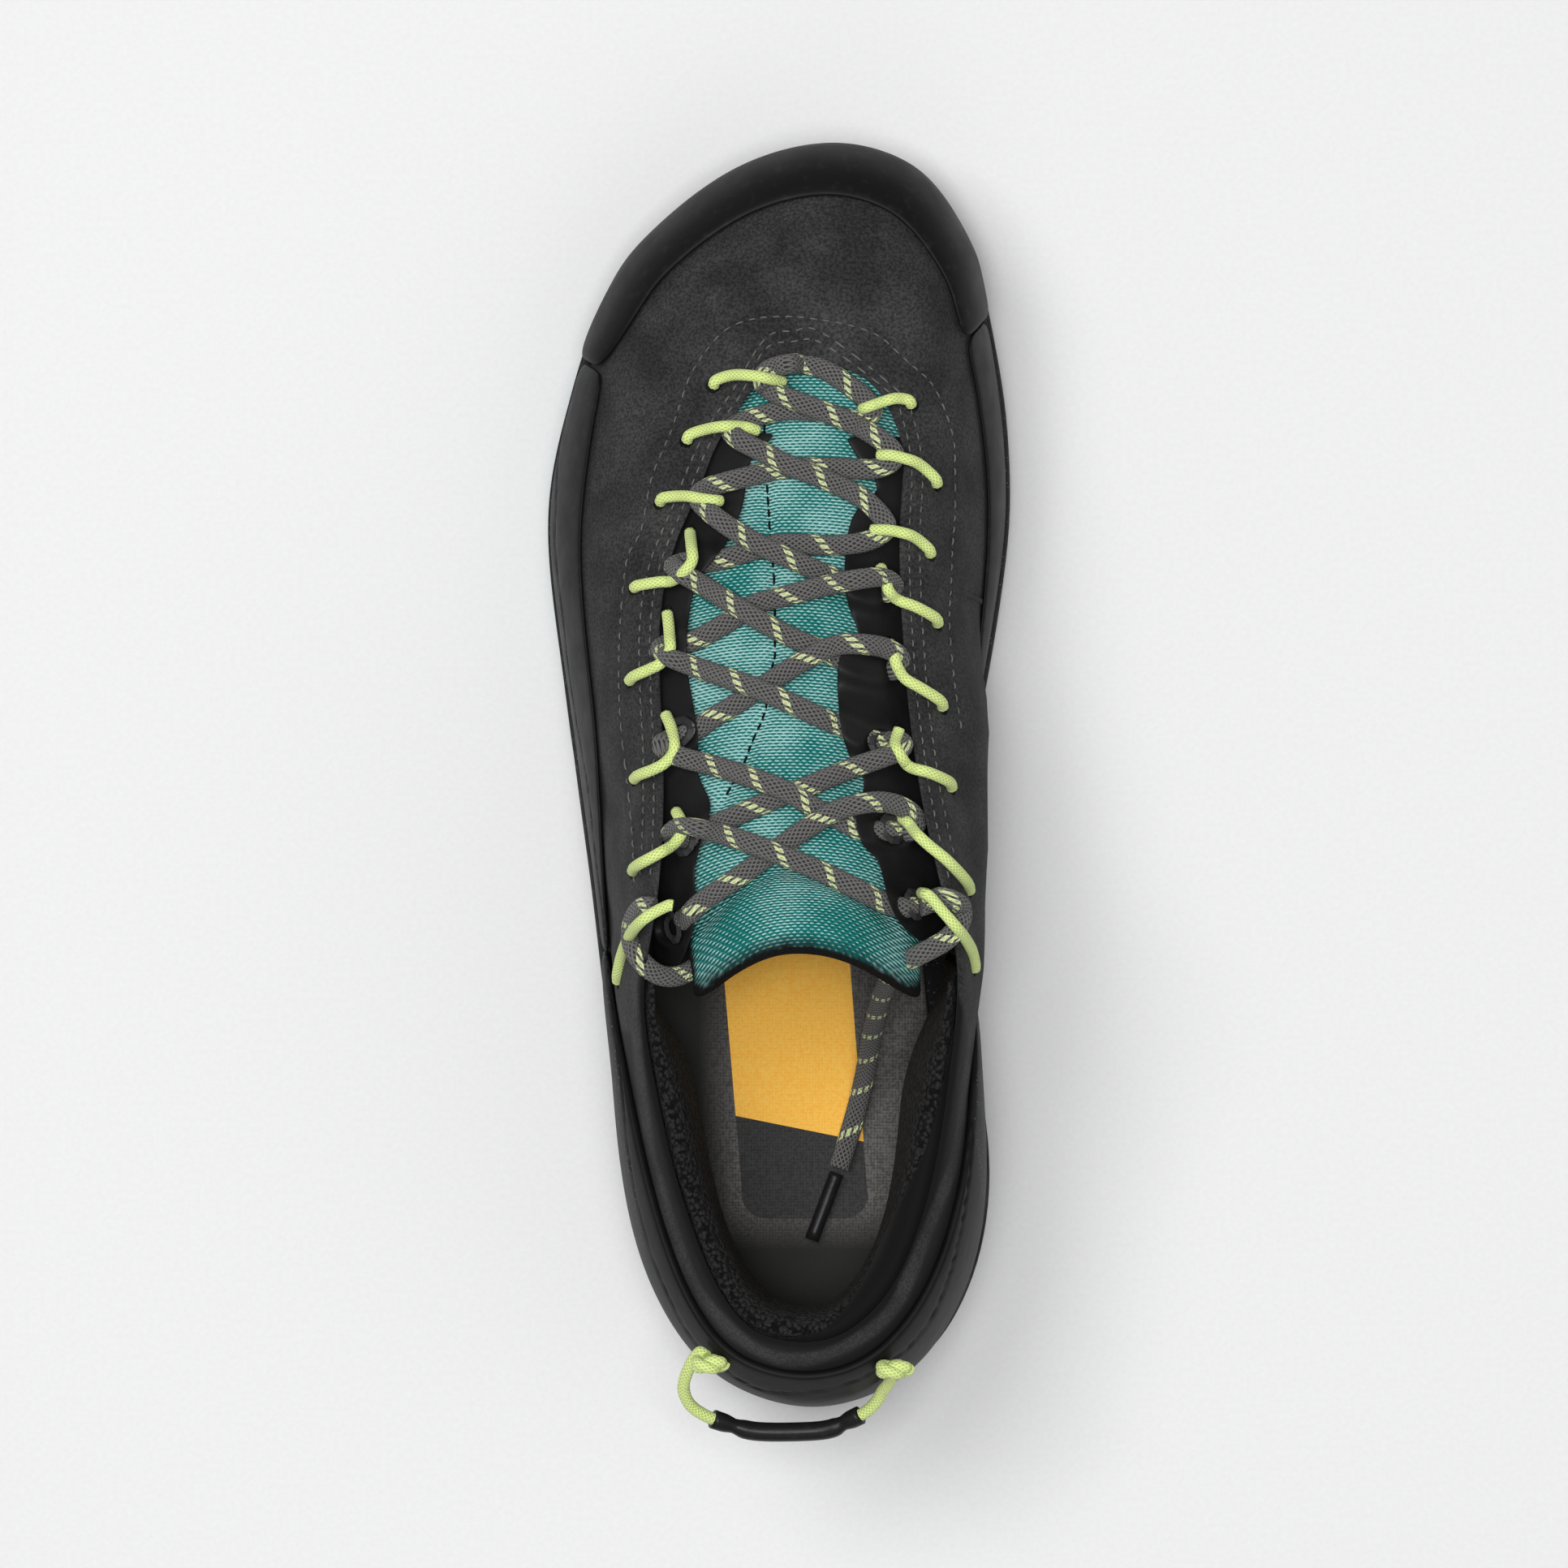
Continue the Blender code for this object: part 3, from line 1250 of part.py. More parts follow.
def centre_over_origin(shapes):
    """Move the whole shoe so that it stands centred over the origin."""
    low = np.full(3, np.inf)
    high = np.full(3, -np.inf)
    graph = bpy.context.evaluated_depsgraph_get()
    for shape in shapes:
        mesh = shape.evaluated_get(graph).to_mesh()
        points = np.array([tuple(vertex.co) for vertex in mesh.vertices])
        low = np.minimum(low, points.min(axis=0))
        high = np.maximum(high, points.max(axis=0))
    shift = Vector((-(low[0] + high[0]) / 2, -(low[1] + high[1]) / 2, -low[2]))
    for shape in bpy.data.objects:
        shape.location = shift


def main():
    """Build the shoe."""
    for old in list(bpy.data.objects):
        bpy.data.objects.remove(old, do_unlink=True)
    body = [build_outsole(), build_midsole(), build_insole(), build_upper()]
    rubber = (0.011, 0.011, 0.012)
    body.append(build_overlay("toe_rand", TOE_RAND, TOE_RAND_THICKNESS, 4, rubber, 0.45))
    body.append(
        build_overlay("side_rand_lateral", SIDE_RAND_LATERAL, SIDE_RAND_THICKNESS, 3, rubber, 0.45)
    )
    body.append(
        build_overlay("side_rand_medial", SIDE_RAND_MEDIAL, SIDE_RAND_THICKNESS, 3, rubber, 0.45)
    )
    body.append(build_overlay("heel_counter", HEEL_COUNTER, COUNTER_THICKNESS, 5, rubber, 0.5))
    body.append(build_collar_lining())
    body.append(build_tongue())
    shell = tree_of("upper")
    instep = surface_of(tongue_grid(widen=3)[0])
    body.append(build_eyestay("lateral", EYESTAY_LATERAL, instep, shell))
    body.append(build_eyestay("medial", EYESTAY_MEDIAL, instep, shell))
    build_eyelets()
    covers = ["upper", "tongue", "eyestay_lateral", "eyestay_medial", "collar_lining"]
    covers += [shape.name for shape in bpy.data.objects if shape.name.startswith("eyelet_")]
    surface = tree_of(*covers)
    build_loops(surface, (0.70, 0.86, 0.30))
    build_cords(surface, tree_of("upper", "heel_counter", "collar_lining"))
    centre_over_origin(body)


main()
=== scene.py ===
"""An approach shoe for the left foot, dressed over its CAD frame."""

import math

import bmesh
import bpy
import numpy as np
from mathutils import Matrix, Vector
from mathutils.bvhtree import BVHTree
from mathutils.kdtree import KDTree


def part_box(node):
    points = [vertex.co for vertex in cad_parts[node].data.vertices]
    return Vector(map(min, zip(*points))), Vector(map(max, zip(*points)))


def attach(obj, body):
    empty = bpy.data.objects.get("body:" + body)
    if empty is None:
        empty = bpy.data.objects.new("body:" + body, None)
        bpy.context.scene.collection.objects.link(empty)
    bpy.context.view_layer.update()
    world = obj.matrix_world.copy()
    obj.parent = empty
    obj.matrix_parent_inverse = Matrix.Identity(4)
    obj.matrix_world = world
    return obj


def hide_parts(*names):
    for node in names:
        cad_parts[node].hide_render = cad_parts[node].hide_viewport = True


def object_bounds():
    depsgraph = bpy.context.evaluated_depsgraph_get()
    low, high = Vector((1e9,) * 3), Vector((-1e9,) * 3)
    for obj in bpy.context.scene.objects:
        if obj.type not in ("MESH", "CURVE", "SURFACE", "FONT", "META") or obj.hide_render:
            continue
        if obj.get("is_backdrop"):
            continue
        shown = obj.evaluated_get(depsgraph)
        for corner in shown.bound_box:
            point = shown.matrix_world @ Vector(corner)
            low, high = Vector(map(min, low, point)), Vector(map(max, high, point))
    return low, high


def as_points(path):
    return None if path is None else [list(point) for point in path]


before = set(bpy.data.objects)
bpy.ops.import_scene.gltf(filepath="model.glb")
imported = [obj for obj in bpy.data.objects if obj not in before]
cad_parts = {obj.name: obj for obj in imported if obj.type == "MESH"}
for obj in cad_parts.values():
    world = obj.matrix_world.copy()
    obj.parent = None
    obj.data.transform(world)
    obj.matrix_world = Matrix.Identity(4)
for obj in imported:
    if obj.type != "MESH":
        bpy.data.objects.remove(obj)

CAD_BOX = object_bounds()

# The view: the eye is high above, a little to the right of this shoe. Places on the shoe are given
# as across and down in a view PIXELS wide, where one step is PIXEL metres on the floor. The heel's
# back shows at MIDDLE_ACROSS and HEEL_DOWN, and the camera aims at AIM: across, down and height.
PIXELS = 1932
PIXEL = 0.0001739
AIM = (703, 1022, 0.04)
MIDDLE_ACROSS = 715
HEEL_DOWN = 1782
MIDDLE_X = 0.00315
HEEL_Y = -0.13405
EYE = Vector((0.0468, 0.0079, 1.8))

# Cords, in metres
LACE_WIDTH = 0.0043
LACE_HEIGHT = 0.0031
LOOP_WIDTH = 0.0024
PULL_WIDTH = 0.0026
SLEEVE_WIDTH = 0.0040
KNOT_LOBE = 0.001044
# A flap rises over a strand within this reach of it, and is held down near its seam and its rings
UNDER_REACH = 0.0022
HELD_NEAR = 0.0026
HELD_EASE = 0.0016
# The share by which a flat lace turns level at each step, and a fall too steep for it to follow
LEVELLING = 0.2
DROP = 0.012
# The heel: the middle of its round from its back, how far its band stands out, and the slope past
# which a clearance is no longer widened
HEEL_ROUND = 0.0536
HEEL_PROUD = 0.0012
GRAZING = 0.3
# How far overlays stand proud, and the angle past which the sole's edges stay sharp
OVERLAY = 0.0002
SHARP = math.radians(38)
# One stitch: how far along, how thick and how high, as shares of its length and thickness
STITCH_FORM = ((0.0, 0.35, -0.4), (0.18, 0.9, 0.25), (0.5, 1.0, 0.55), (0.82, 0.9, 0.25), (1.0, 0.35, -0.4))
# The painted shade in a loop's hole, a dark disc: its rings, by their reach and their height in metres
HOLE_FORM = ((1.0, 0.00004), (0.8, 0.0002), (0.55, 0.00012))


def on_floor(across, down):
    """The place on the floor that shows at a place in the view."""
    return Vector(((across - MIDDLE_ACROSS) * PIXEL + MIDDLE_X, (HEEL_DOWN - down) * PIXEL + HEEL_Y, 0))


def at_height(across, down, height):
    """The place at that height that shows at a place in the view."""
    return EYE.lerp(on_floor(across, down), 1 - height / EYE.z)


# Camera, light and floor


def place_camera():
    """Looks straight down past the shoe, from the photo's eye."""
    camera = bpy.data.cameras.new("camera")
    camera.sensor_width = 36
    camera.lens = 36 * EYE.z / (PIXELS * PIXEL)
    camera.clip_end = 10
    eye = bpy.data.objects.new("camera", camera)
    bpy.context.scene.collection.objects.link(eye)
    eye.location = EYE
    ahead = (at_height(*AIM) - EYE).normalized()
    right = ahead.cross(Vector((0, 1, 0))).normalized()
    eye.rotation_euler = Matrix((right, right.cross(ahead), -ahead)).transposed().to_euler()
    bpy.context.scene.camera = eye


def light(name, place, size, power):
    """A soft square lamp, turned to the shoe."""
    lamp = bpy.data.lights.new(name, "AREA")
    lamp.energy = power
    lamp.size = size
    shown = bpy.data.objects.new(name, lamp)
    bpy.context.scene.collection.objects.link(shown)
    shown.location = place
    shown.rotation_euler = (Vector((0, 0, 0.04)) - Vector(place)).to_track_quat("-Z", "Y").to_euler()


def light_studio():
    """Even soft light from above and the upper left, with a pale surround."""
    light("key", (-0.55, 0.40, 1.6), 0.7, 12)
    light("top", (0.03, -0.03, 2.3), 0.6, 27)
    light("fill", (0.9, -0.2, 1.1), 1.1, 2)
    light("back", (0.0, -0.9, 0.9), 0.9, 1.2)
    world = bpy.data.worlds.new("studio")
    world.use_nodes = True
    surround = world.node_tree.nodes["Background"]
    surround.inputs["Color"].default_value = (0.93, 0.94, 0.96, 1)
    surround.inputs["Strength"].default_value = 0.14
    bpy.context.scene.world = world
    bpy.context.scene.view_settings.view_transform = "Standard"


def lay_floor():
    """A plain pale floor under the sole."""
    bpy.ops.object.select_all(action="DESELECT")
    bpy.ops.mesh.primitive_plane_add(size=6, location=(0, 0, 0))
    floor = bpy.context.active_object
    floor.name = "floor"
    floor.data.transform(floor.matrix_world)
    floor.matrix_world.identity()
    floor.data.materials.append(floor_paint())
    floor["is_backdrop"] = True


# Materials

LOW_GLOSS, SATIN_GLOSS, RUBBER_GLOSS = 0.1, 0.16, 0.2
COATED = (0.008, 0.008, 0.0085)
BLACK_BINDING = (0.0035, 0.0035, 0.0035)
FOAM_DARK, FOAM_SPECK = (0.014, 0.014, 0.015), (0.13, 0.13, 0.13)
LACE_FLECK = (0.72, 0.80, 0.40)

# The teal edge of the sole, in metres: outside this x, between these two y and above this height
TEAL_OUTSIDE, TEAL_FROM, TEAL_TO, TEAL_ABOVE = -0.030, 0.025, 0.092, 0.0034
# The tongue's knit: a row and a step along it, and the height where its cap starts to darken
KNIT_ROW, KNIT_STEP, CAP_FROM = 0.0008, 0.0014, 0.082
# The footbed's panels, in metres: x of both sides at PANEL_Y and how far they lean, the slanted line
# between the two panels, the rounded rear edge, and where the painted shade over the cloth's outer side and rear begins
PANEL_Y = -0.083
PANEL_LEFT, LEFT_LEAN = -0.0075, -0.085
PANEL_RIGHT, RIGHT_LEAN = 0.0190, -0.077
PANEL_SPLIT, SPLIT_LEAN = -0.0735, -0.20
PANEL_REAR, REAR_ROUND = -0.0935, 0.0045
PANEL_MIDDLE, PANEL_HALF = 0.0062, 0.0135
SHADE_SIDE, SHADE_REAR = -0.0080, -0.0900
CLOTH_PITCH = 0.0013


class Amount:
    """A number worked out in a material, so that sums on it are written as usual."""

    def __init__(self, socket):
        self.socket = socket

    def __add__(self, other):
        return worked("ADD", self, other)

    def __sub__(self, other):
        return worked("SUBTRACT", self, other)

    def __rsub__(self, other):
        return worked("SUBTRACT", other, self)

    def __mul__(self, other):
        return worked("MULTIPLY", self, other)

    def __gt__(self, other):
        return worked("GREATER_THAN", self, other)

    def __lt__(self, other):
        return worked("LESS_THAN", self, other)


def plug(socket, value):
    """Links a socket to an amount or an output, or sets it to a number or a colour."""
    if isinstance(value, Amount):
        value = value.socket
    if isinstance(value, bpy.types.NodeSocket):
        socket.id_data.links.new(value, socket)
    else:
        socket.default_value = (*value, 1) if isinstance(value, tuple) else value


def worked(operation, *numbers):
    """The result of a sum on numbers, at least one of them an amount."""
    tree = next(number.socket.id_data for number in numbers if isinstance(number, Amount))
    node = tree.nodes.new("ShaderNodeMath")
    node.operation = operation
    for socket, number in zip(node.inputs, numbers):
        plug(socket, number)
    return Amount(node.outputs[0])


def wave(turns):
    """A sine that repeats with each whole turn."""
    return worked("SINE", turns * (2 * math.pi))


def fraction(amount):
    """What an amount is past its last whole number."""
    return worked("FRACT", amount)


def new_material(name, colour, roughness, **sockets):
    """A Principled material with its fixed sockets set."""
    material = bpy.data.materials.new(name)
    material.use_nodes = True
    tree = material.node_tree
    shader = tree.nodes["Principled BSDF"]
    for socket, value in {"Base Color": colour, "Roughness": roughness, **sockets}.items():
        plug(shader.inputs[socket.replace("_", " ")], value)
    material.diffuse_color = (*colour, 1)
    return material, tree, shader


def add(tree, kind, **inputs):
    """A shader node with its inputs set or linked."""
    node = tree.nodes.new(kind)
    for name, value in inputs.items():
        plug(node.inputs[name.replace("_", " ")], value)
    return node


def place_of(tree):
    """Object coordinates, in metres."""
    return add(tree, "ShaderNodeTexCoord").outputs["Object"]


def axes_of(tree, place=None):
    """The three numbers of a place, or of the place on the object."""
    parts = add(tree, "ShaderNodeSeparateXYZ", Vector=place_of(tree) if place is None else place)
    return [Amount(part) for part in parts.outputs]


def noise(tree, scale, detail):
    """Soft noise whose scale is in turns a metre."""
    node = add(tree, "ShaderNodeTexNoise", Scale=scale, Detail=detail, Vector=place_of(tree))
    return Amount(node.outputs["Fac"])


def cells(tree, scale):
    """The distance from the middle of the nearest cell, with that many cells a metre."""
    return Amount(add(tree, "ShaderNodeTexVoronoi", Vector=place_of(tree), Scale=scale).outputs["Distance"])


def mark_of(tree, name):
    """A mark kept on a piece's points."""
    node = tree.nodes.new("ShaderNodeAttribute")
    node.attribute_name = name
    return Amount(node.outputs["Fac"])


def times(colour, share):
    """A colour made lighter or darker."""
    return tuple(channel * share for channel in colour)


def ramp(tree, factor, *stops):
    """A colour for each place along a factor."""
    node = add(tree, "ShaderNodeValToRGB", Fac=factor)
    for element, (place, colour) in zip(node.color_ramp.elements, stops):
        element.position = place
        element.color = (*colour, 1)
    return node.outputs["Color"]


def blend(tree, factor, first, second, way="MIX"):
    """A mix of two colours."""
    node = tree.nodes.new("ShaderNodeMix")
    node.data_type = "RGBA"
    node.blend_type = way
    for slot, value in ((0, factor), (6, first), (7, second)):
        plug(node.inputs[slot], value)
    return node.outputs[2]


def coloured(shader, colour):
    """Gives a shader its colour."""
    plug(shader.inputs["Base Color"], colour)


def relief(shader, height, strength, depth, before=None):
    """Bump from a height, over another bump if given."""
    node = add(shader.id_data, "ShaderNodeBump", Height=height, Strength=strength, Distance=depth)
    if before is not None:
        plug(node.inputs["Normal"], before)
    plug(shader.inputs["Normal"], node.outputs["Normal"])
    return node.outputs["Normal"]


def floor_paint():
    """Pale matt paper, faintly uneven."""
    pale, paler = (0.80, 0.80, 0.80), (0.83, 0.83, 0.83)
    material, tree, shader = new_material("floor_paper", pale, 0.9)
    coloured(shader, ramp(tree, noise(tree, 900, 3), (0.3, pale), (0.7, paler)))
    return material


def suede_finish():
    """Charcoal suede: a short nap, brushed lighter in patches, and smooth black where it is coated."""
    dark, brushed = (0.024, 0.024, 0.025), (0.044, 0.044, 0.044)
    low, high = (0.5, 0.5, 0.5), (1.6, 1.6, 1.6)
    material, tree, shader = new_material(
        "suede_nap", dark, 0.95, Sheen_Weight=0.03, Sheen_Roughness=0.55, Specular_IOR_Level=LOW_GLOSS
    )
    patches = ramp(tree, noise(tree, 90, 4), (0.35, dark), (0.68, brushed))
    grain = ramp(tree, noise(tree, 1700, 3), (0.38, low), (0.64, high))
    coated = worked("MAXIMUM", mark_of(tree, "rolled"), mark_of(tree, "heel"))
    coloured(shader, blend(tree, coated, blend(tree, 0.75, patches, grain, "MULTIPLY"), COATED))
    soft = relief(shader, noise(tree, 260, 3), 0.35, 0.0006)
    relief(shader, noise(tree, 2200, 2) * (1.0 - coated), 0.5, 0.00022, soft)
    return material


def rubber_finish(name, colour, roughness, scuffed=False):
    """Satin rubber with a fine grain. Where it is scuffed it has pale marks, and foam past its edge."""
    material, tree, shader = new_material(name, colour, roughness, Specular_IOR_Level=SATIN_GLOSS)
    pale_from = 0.74 if scuffed else 0.98
    colours = ramp(tree, noise(tree, 420, 6), (0.56, colour), (pale_from, times(colour, 2.6)))
    if scuffed:
        colours = blend(tree, mark_of(tree, "foam"), colours, speckled(tree))
    coloured(shader, colours)
    uneven = noise(tree, 160, 3)
    rough = add(tree, "ShaderNodeMapRange", Value=uneven, To_Min=roughness - 0.08, To_Max=roughness + 0.12)
    plug(shader.inputs["Roughness"], rough.outputs[0])
    relief(shader, noise(tree, 1500, 2), 0.25, 0.0001)
    return material


def smooth_finish(name, colour, roughness, foamed=False):
    """Coated microfibre: a satin skin with a very fine grain, and foam past its edge."""
    material, tree, shader = new_material(name, colour, roughness, Specular_IOR_Level=SATIN_GLOSS)
    colours = ramp(tree, noise(tree, 120, 4), (0.3, colour), (0.8, times(colour, 1.8)))
    if foamed:
        colours = blend(tree, mark_of(tree, "foam"), colours, speckled(tree))
    coloured(shader, colours)
    soft = relief(shader, noise(tree, 150, 2), 0.25, 0.0008)
    relief(shader, cells(tree, 1800.0), 0.12, 0.0001, soft)
    return material


def speckled(tree):
    """The foam's colour: pale specks in a dark ground."""
    speck = (cells(tree, 1100.0) < 0.22) * (noise(tree, 700, 2) > 0.50)
    return blend(tree, speck, FOAM_DARK, FOAM_SPECK)


def foam_finish():
    """Dark foam full of pale specks."""
    material, tree, shader = new_material("foam_speckle", FOAM_DARK, 0.85, Specular_IOR_Level=RUBBER_GLOSS)
    coloured(shader, speckled(tree))
    relief(shader, noise(tree, 900, 3), 0.7, 0.0004)
    return material


def sole_finish():
    """Black sole rubber, teal on its lateral forefoot edge."""
    black, teal = (0.011, 0.011, 0.012), (0.012, 0.20, 0.19)
    material, tree, shader = new_material("sole_rubber", black, 0.62, Specular_IOR_Level=RUBBER_GLOSS)
    x, y, z = axes_of(tree)
    edge = (x < TEAL_OUTSIDE) * (y > TEAL_FROM) * ((y < TEAL_TO) * (z > TEAL_ABOVE))
    coloured(shader, blend(tree, edge, black, teal))
    relief(shader, noise(tree, 1200, 3), 0.3, 0.00015)
    return material


def mesh_finish():
    """Teal air mesh: rows of pale knit over a darker ground, less pale on the cap, and its black binding."""
    deep, pale = (0.003, 0.185, 0.170), (0.46, 0.78, 0.75)
    material, tree, shader = new_material("tongue_mesh", deep, 0.9, Specular_IOR_Level=RUBBER_GLOSS)
    x, y, z = axes_of(tree)
    rows = (y - z * 0.55) * (1 / KNIT_ROW)
    every_other = fraction(worked("FLOOR", rows) * 0.5)
    knit = wave(x * (1 / KNIT_STEP) + every_other) * 0.5 + wave(rows) * 0.7
    patches = (noise(tree, 70, 2) - 0.5) * 2.4
    ragged = (noise(tree, 2600, 2) - 0.5) * 1.6
    darker = worked("MAXIMUM", z - CAP_FROM, 0.0) * -18.0
    level = knit + (patches + darker) + ragged
    colour = ramp(tree, level * 0.3 + 0.5, (0.44, deep), (0.66, pale))
    coloured(shader, blend(tree, mark_of(tree, "bound"), colour, BLACK_BINDING))
    relief(shader, knit, 0.8, 0.0003)
    return material


def pile_finish(name, colour, scale):
    """Close black pile, coated where it is smooth, with painted shade darkening the hollows between its loops."""
    material, tree, shader = new_material(
        name, colour, 1.0, Sheen_Weight=0.03, Sheen_Roughness=0.5, Specular_IOR_Level=LOW_GLOSS
    )
    loops, smooth = cells(tree, scale), mark_of(tree, "smooth")
    # Painted shade and light: the colour follows the loops' relief, darker in the hollows between loops and lighter on
    # their tops
    ragged = loops * -0.9 + noise(tree, scale * 1.6, 3)
    pile = ramp(tree, ragged + 0.4, (0.34, colour), (0.66, times(colour, 7)))
    coloured(shader, blend(tree, smooth, pile, COATED))
    relief(shader, (1.0 - loops) * (1.0 - smooth), 1.0, 0.0009)
    return material


def footbed_finish():
    """Grey woven footbed: an orange panel under the heel opening, and a darker one behind it, with painted shade
    turning the cloth near black along its outer side and rear.
    """
    # black is the colour of the painted shade along the footbed's outer side and rear
    grey, dark, black = (0.098, 0.094, 0.086), (0.034, 0.033, 0.033), (0.014, 0.014, 0.013)
    material, tree, shader = new_material("footbed_weave", grey, 0.9)
    x, y, _ = axes_of(tree)
    left = x > (y - PANEL_Y) * LEFT_LEAN + PANEL_LEFT
    right = x < (y - PANEL_Y) * RIGHT_LEAN + PANEL_RIGHT
    front = y > x * SPLIT_LEAN + PANEL_SPLIT
    out = worked("ABSOLUTE", (x - PANEL_MIDDLE) * (1 / PANEL_HALF))
    rear = y - worked("POWER", out, 8.0) * REAR_ROUND > PANEL_REAR
    sides = left * right
    weave = noise(tree, 1500, 2) + wave((x + y) * (1 / CLOTH_PITCH)) * wave((x - y) * (1 / CLOTH_PITCH)) * 0.13
    cloth = ramp(tree, weave, (0.35, (0.055, 0.053, 0.049)), (0.65, (0.125, 0.12, 0.112)))
    orange = ramp(tree, weave, (0.3, (1.0, 0.47, 0.05)), (0.7, (1.0, 0.60, 0.11)))
    coated = ramp(tree, weave, (0.3, times(dark, 0.6)), (0.7, times(dark, 1.3)))
    # Painted shade: the grey cloth fades to near black towards the footbed's outer side and rear, where the wall and
    # the collar shade it
    painted_shade = worked("MAXIMUM", (SHADE_SIDE - x) * 120.0, (SHADE_REAR - y) * 100.0)
    painted_shade = worked("MINIMUM", worked("MAXIMUM", painted_shade, 0.0), 1.0)
    ground = blend(tree, sides * front, blend(tree, painted_shade, cloth, black), orange)
    coloured(shader, blend(tree, sides * (rear - front), ground, coated))
    relief(shader, weave, 0.6, 0.0003)
    return material


def cord_finish(name, ground, second, turns, pitch, flecks=0, hollow_shade=0.35, depth=0.00025):
    """Braid on a cord's own map: strands that cross, with painted shade darkening the hollows between them, and
    slanting groups of pale dashes, one to each length of flecks."""
    material, tree, shader = new_material(name, ground, 0.85, Sheen_Weight=0.15)
    braid = tree.nodes.new("ShaderNodeUVMap")
    braid.uv_map = "braid"
    turn, length, _ = axes_of(tree, braid.outputs[0])
    around, along = turn * turns, length * (1 / pitch)
    strands = worked("MAXIMUM", wave(around + along), wave(around - along))
    # Painted shade: the hollows between the strands are darkened to a share of the ground colour
    colour = ramp(tree, (strands + 1.0) * 0.5, (0.25, times(ground, hollow_shade)), (0.95, second))
    if flecks:
        slanted = fraction(length * (1 / flecks)) + fraction(turn * 2.0) * 0.5
        group = worked("ABSOLUTE", fraction(slanted) - 0.4) < 0.085
        colour = blend(tree, group * (wave(turn * 10) > -0.35), colour, LACE_FLECK)
    coloured(shader, colour)
    relief(shader, strands, 0.8, depth)
    return material


# Pieces made from the frame's solids


def select_only(piece):
    """Selects one object alone."""
    bpy.ops.object.select_all(action="DESELECT")
    piece.select_set(True)
    bpy.context.view_layer.objects.active = piece


def dressed(node, levels, proud=0.0, corner=None):
    """A smooth copy of a CAD node's mesh, which stands in its place."""
    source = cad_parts[node]
    mesh = source.data.copy()
    mesh.name = node + "_dressed"
    mesh.transform(source.matrix_world)
    body = bmesh.new()
    body.from_mesh(mesh)
    bmesh.ops.remove_doubles(body, verts=body.verts, dist=0.00002)
    bmesh.ops.join_triangles(
        body, faces=body.faces, angle_face_threshold=0.7, angle_shape_threshold=0.9,
        cmp_seam=False, cmp_sharp=False, cmp_uvs=False, cmp_vcols=False, cmp_materials=False,
    )
    if corner is not None:
        crease = body.edges.layers.float.new("crease_edge")
        for edge in body.edges:
            if len(edge.link_faces) == 2 and edge.calc_face_angle() > corner:
                edge[crease] = 1.0
    body.to_mesh(mesh)
    body.free()
    mesh.materials.clear()
    piece = bpy.data.objects.new(node + "_dressed", mesh)
    bpy.context.scene.collection.objects.link(piece)
    select_only(piece)
    smooth = piece.modifiers.new("smooth", "SUBSURF")
    smooth.levels = smooth.render_levels = levels
    bpy.ops.object.modifier_apply(modifier="smooth")
    if proud:
        normals = [vertex.normal.copy() for vertex in mesh.vertices]
        for vertex, normal in zip(mesh.vertices, normals):
            vertex.co += normal * proud
    bpy.ops.object.shade_smooth()
    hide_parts(node)
    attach(piece, "root")
    return piece


def finished(piece, material, slot):
    """Gives a piece its material; the slot is not used."""
    piece.data.materials.append(material)
    return piece


def tree_of(*pieces):
    """A tree for casting rays onto finished pieces."""
    points = []
    faces = []
    for piece in pieces:
        first = len(points)
        points += [vertex.co.copy() for vertex in piece.data.vertices]
        faces += [tuple(first + i for i in polygon.vertices) for polygon in piece.data.polygons]
    return BVHTree.FromPolygons(points, faces)


def seen(tree, across, down):
    """The place and outward normal of a surface at a place in the view."""
    along = (on_floor(across, down) - EYE).normalized()
    place, normal, _, _ = tree.ray_cast(EYE, along)
    if place is None:
        return None, None
    return place, normal if normal.dot(along) < 0 else -normal


def curve_through(places, steps):
    """A smooth line through places, with steps to each gap."""
    places = [np.array(place, dtype=float) for place in places]
    ends = [2 * places[0] - places[1]] + places + [2 * places[-1] - places[-2]]
    line = []
    for i in range(1, len(ends) - 2):
        for step in range(steps):
            t = step / steps
            a, b, c, d = ends[i - 1 : i + 3]
            line.append(0.5 * (2 * b + (c - a) * t + (2 * a - 5 * b + 4 * c - d) * t**2 + (3 * b - a - 3 * c + d) * t**3))
    line.append(places[-1])
    return np.array(line)


# Seams, troughs and the painted shade of holes


def near_line(piece, line, reach):
    """Each point of a piece within reach of a line, with its distance."""
    tree = KDTree(len(line))
    for i, place in enumerate(line):
        tree.insert(place, i)
    tree.balance()
    for vertex in piece.data.vertices:
        _, _, gap = tree.find(vertex.co)
        if gap < reach:
            yield vertex, gap


def pressed(piece, line, width, depth):
    """Presses a soft trough of that half width and depth into a piece, or a ridge below 0."""
    near = near_line(piece, line, width * 3)
    for vertex, move in [(vertex, vertex.normal * depth * math.exp(-((gap / width) ** 2))) for vertex, gap in near]:
        vertex.co -= move
    piece.data.update()


def marked(piece, name, line, width):
    """Marks a piece's points along a line, for its material."""
    layer = piece.data.attributes.new(name, "FLOAT", "POINT")
    for vertex, gap in near_line(piece, line, width * 2):
        layer.data[vertex.index].value = min(1.0, max(0.0, 2 - gap / width))


def line_on(tree, route, steps=12):
    """A line laid on a surface through places in the view."""
    line = []
    for across, down in curve_through(route, steps):
        place, _ = seen(tree, across, down)
        if place is not None:
            line.append(place)
    return line


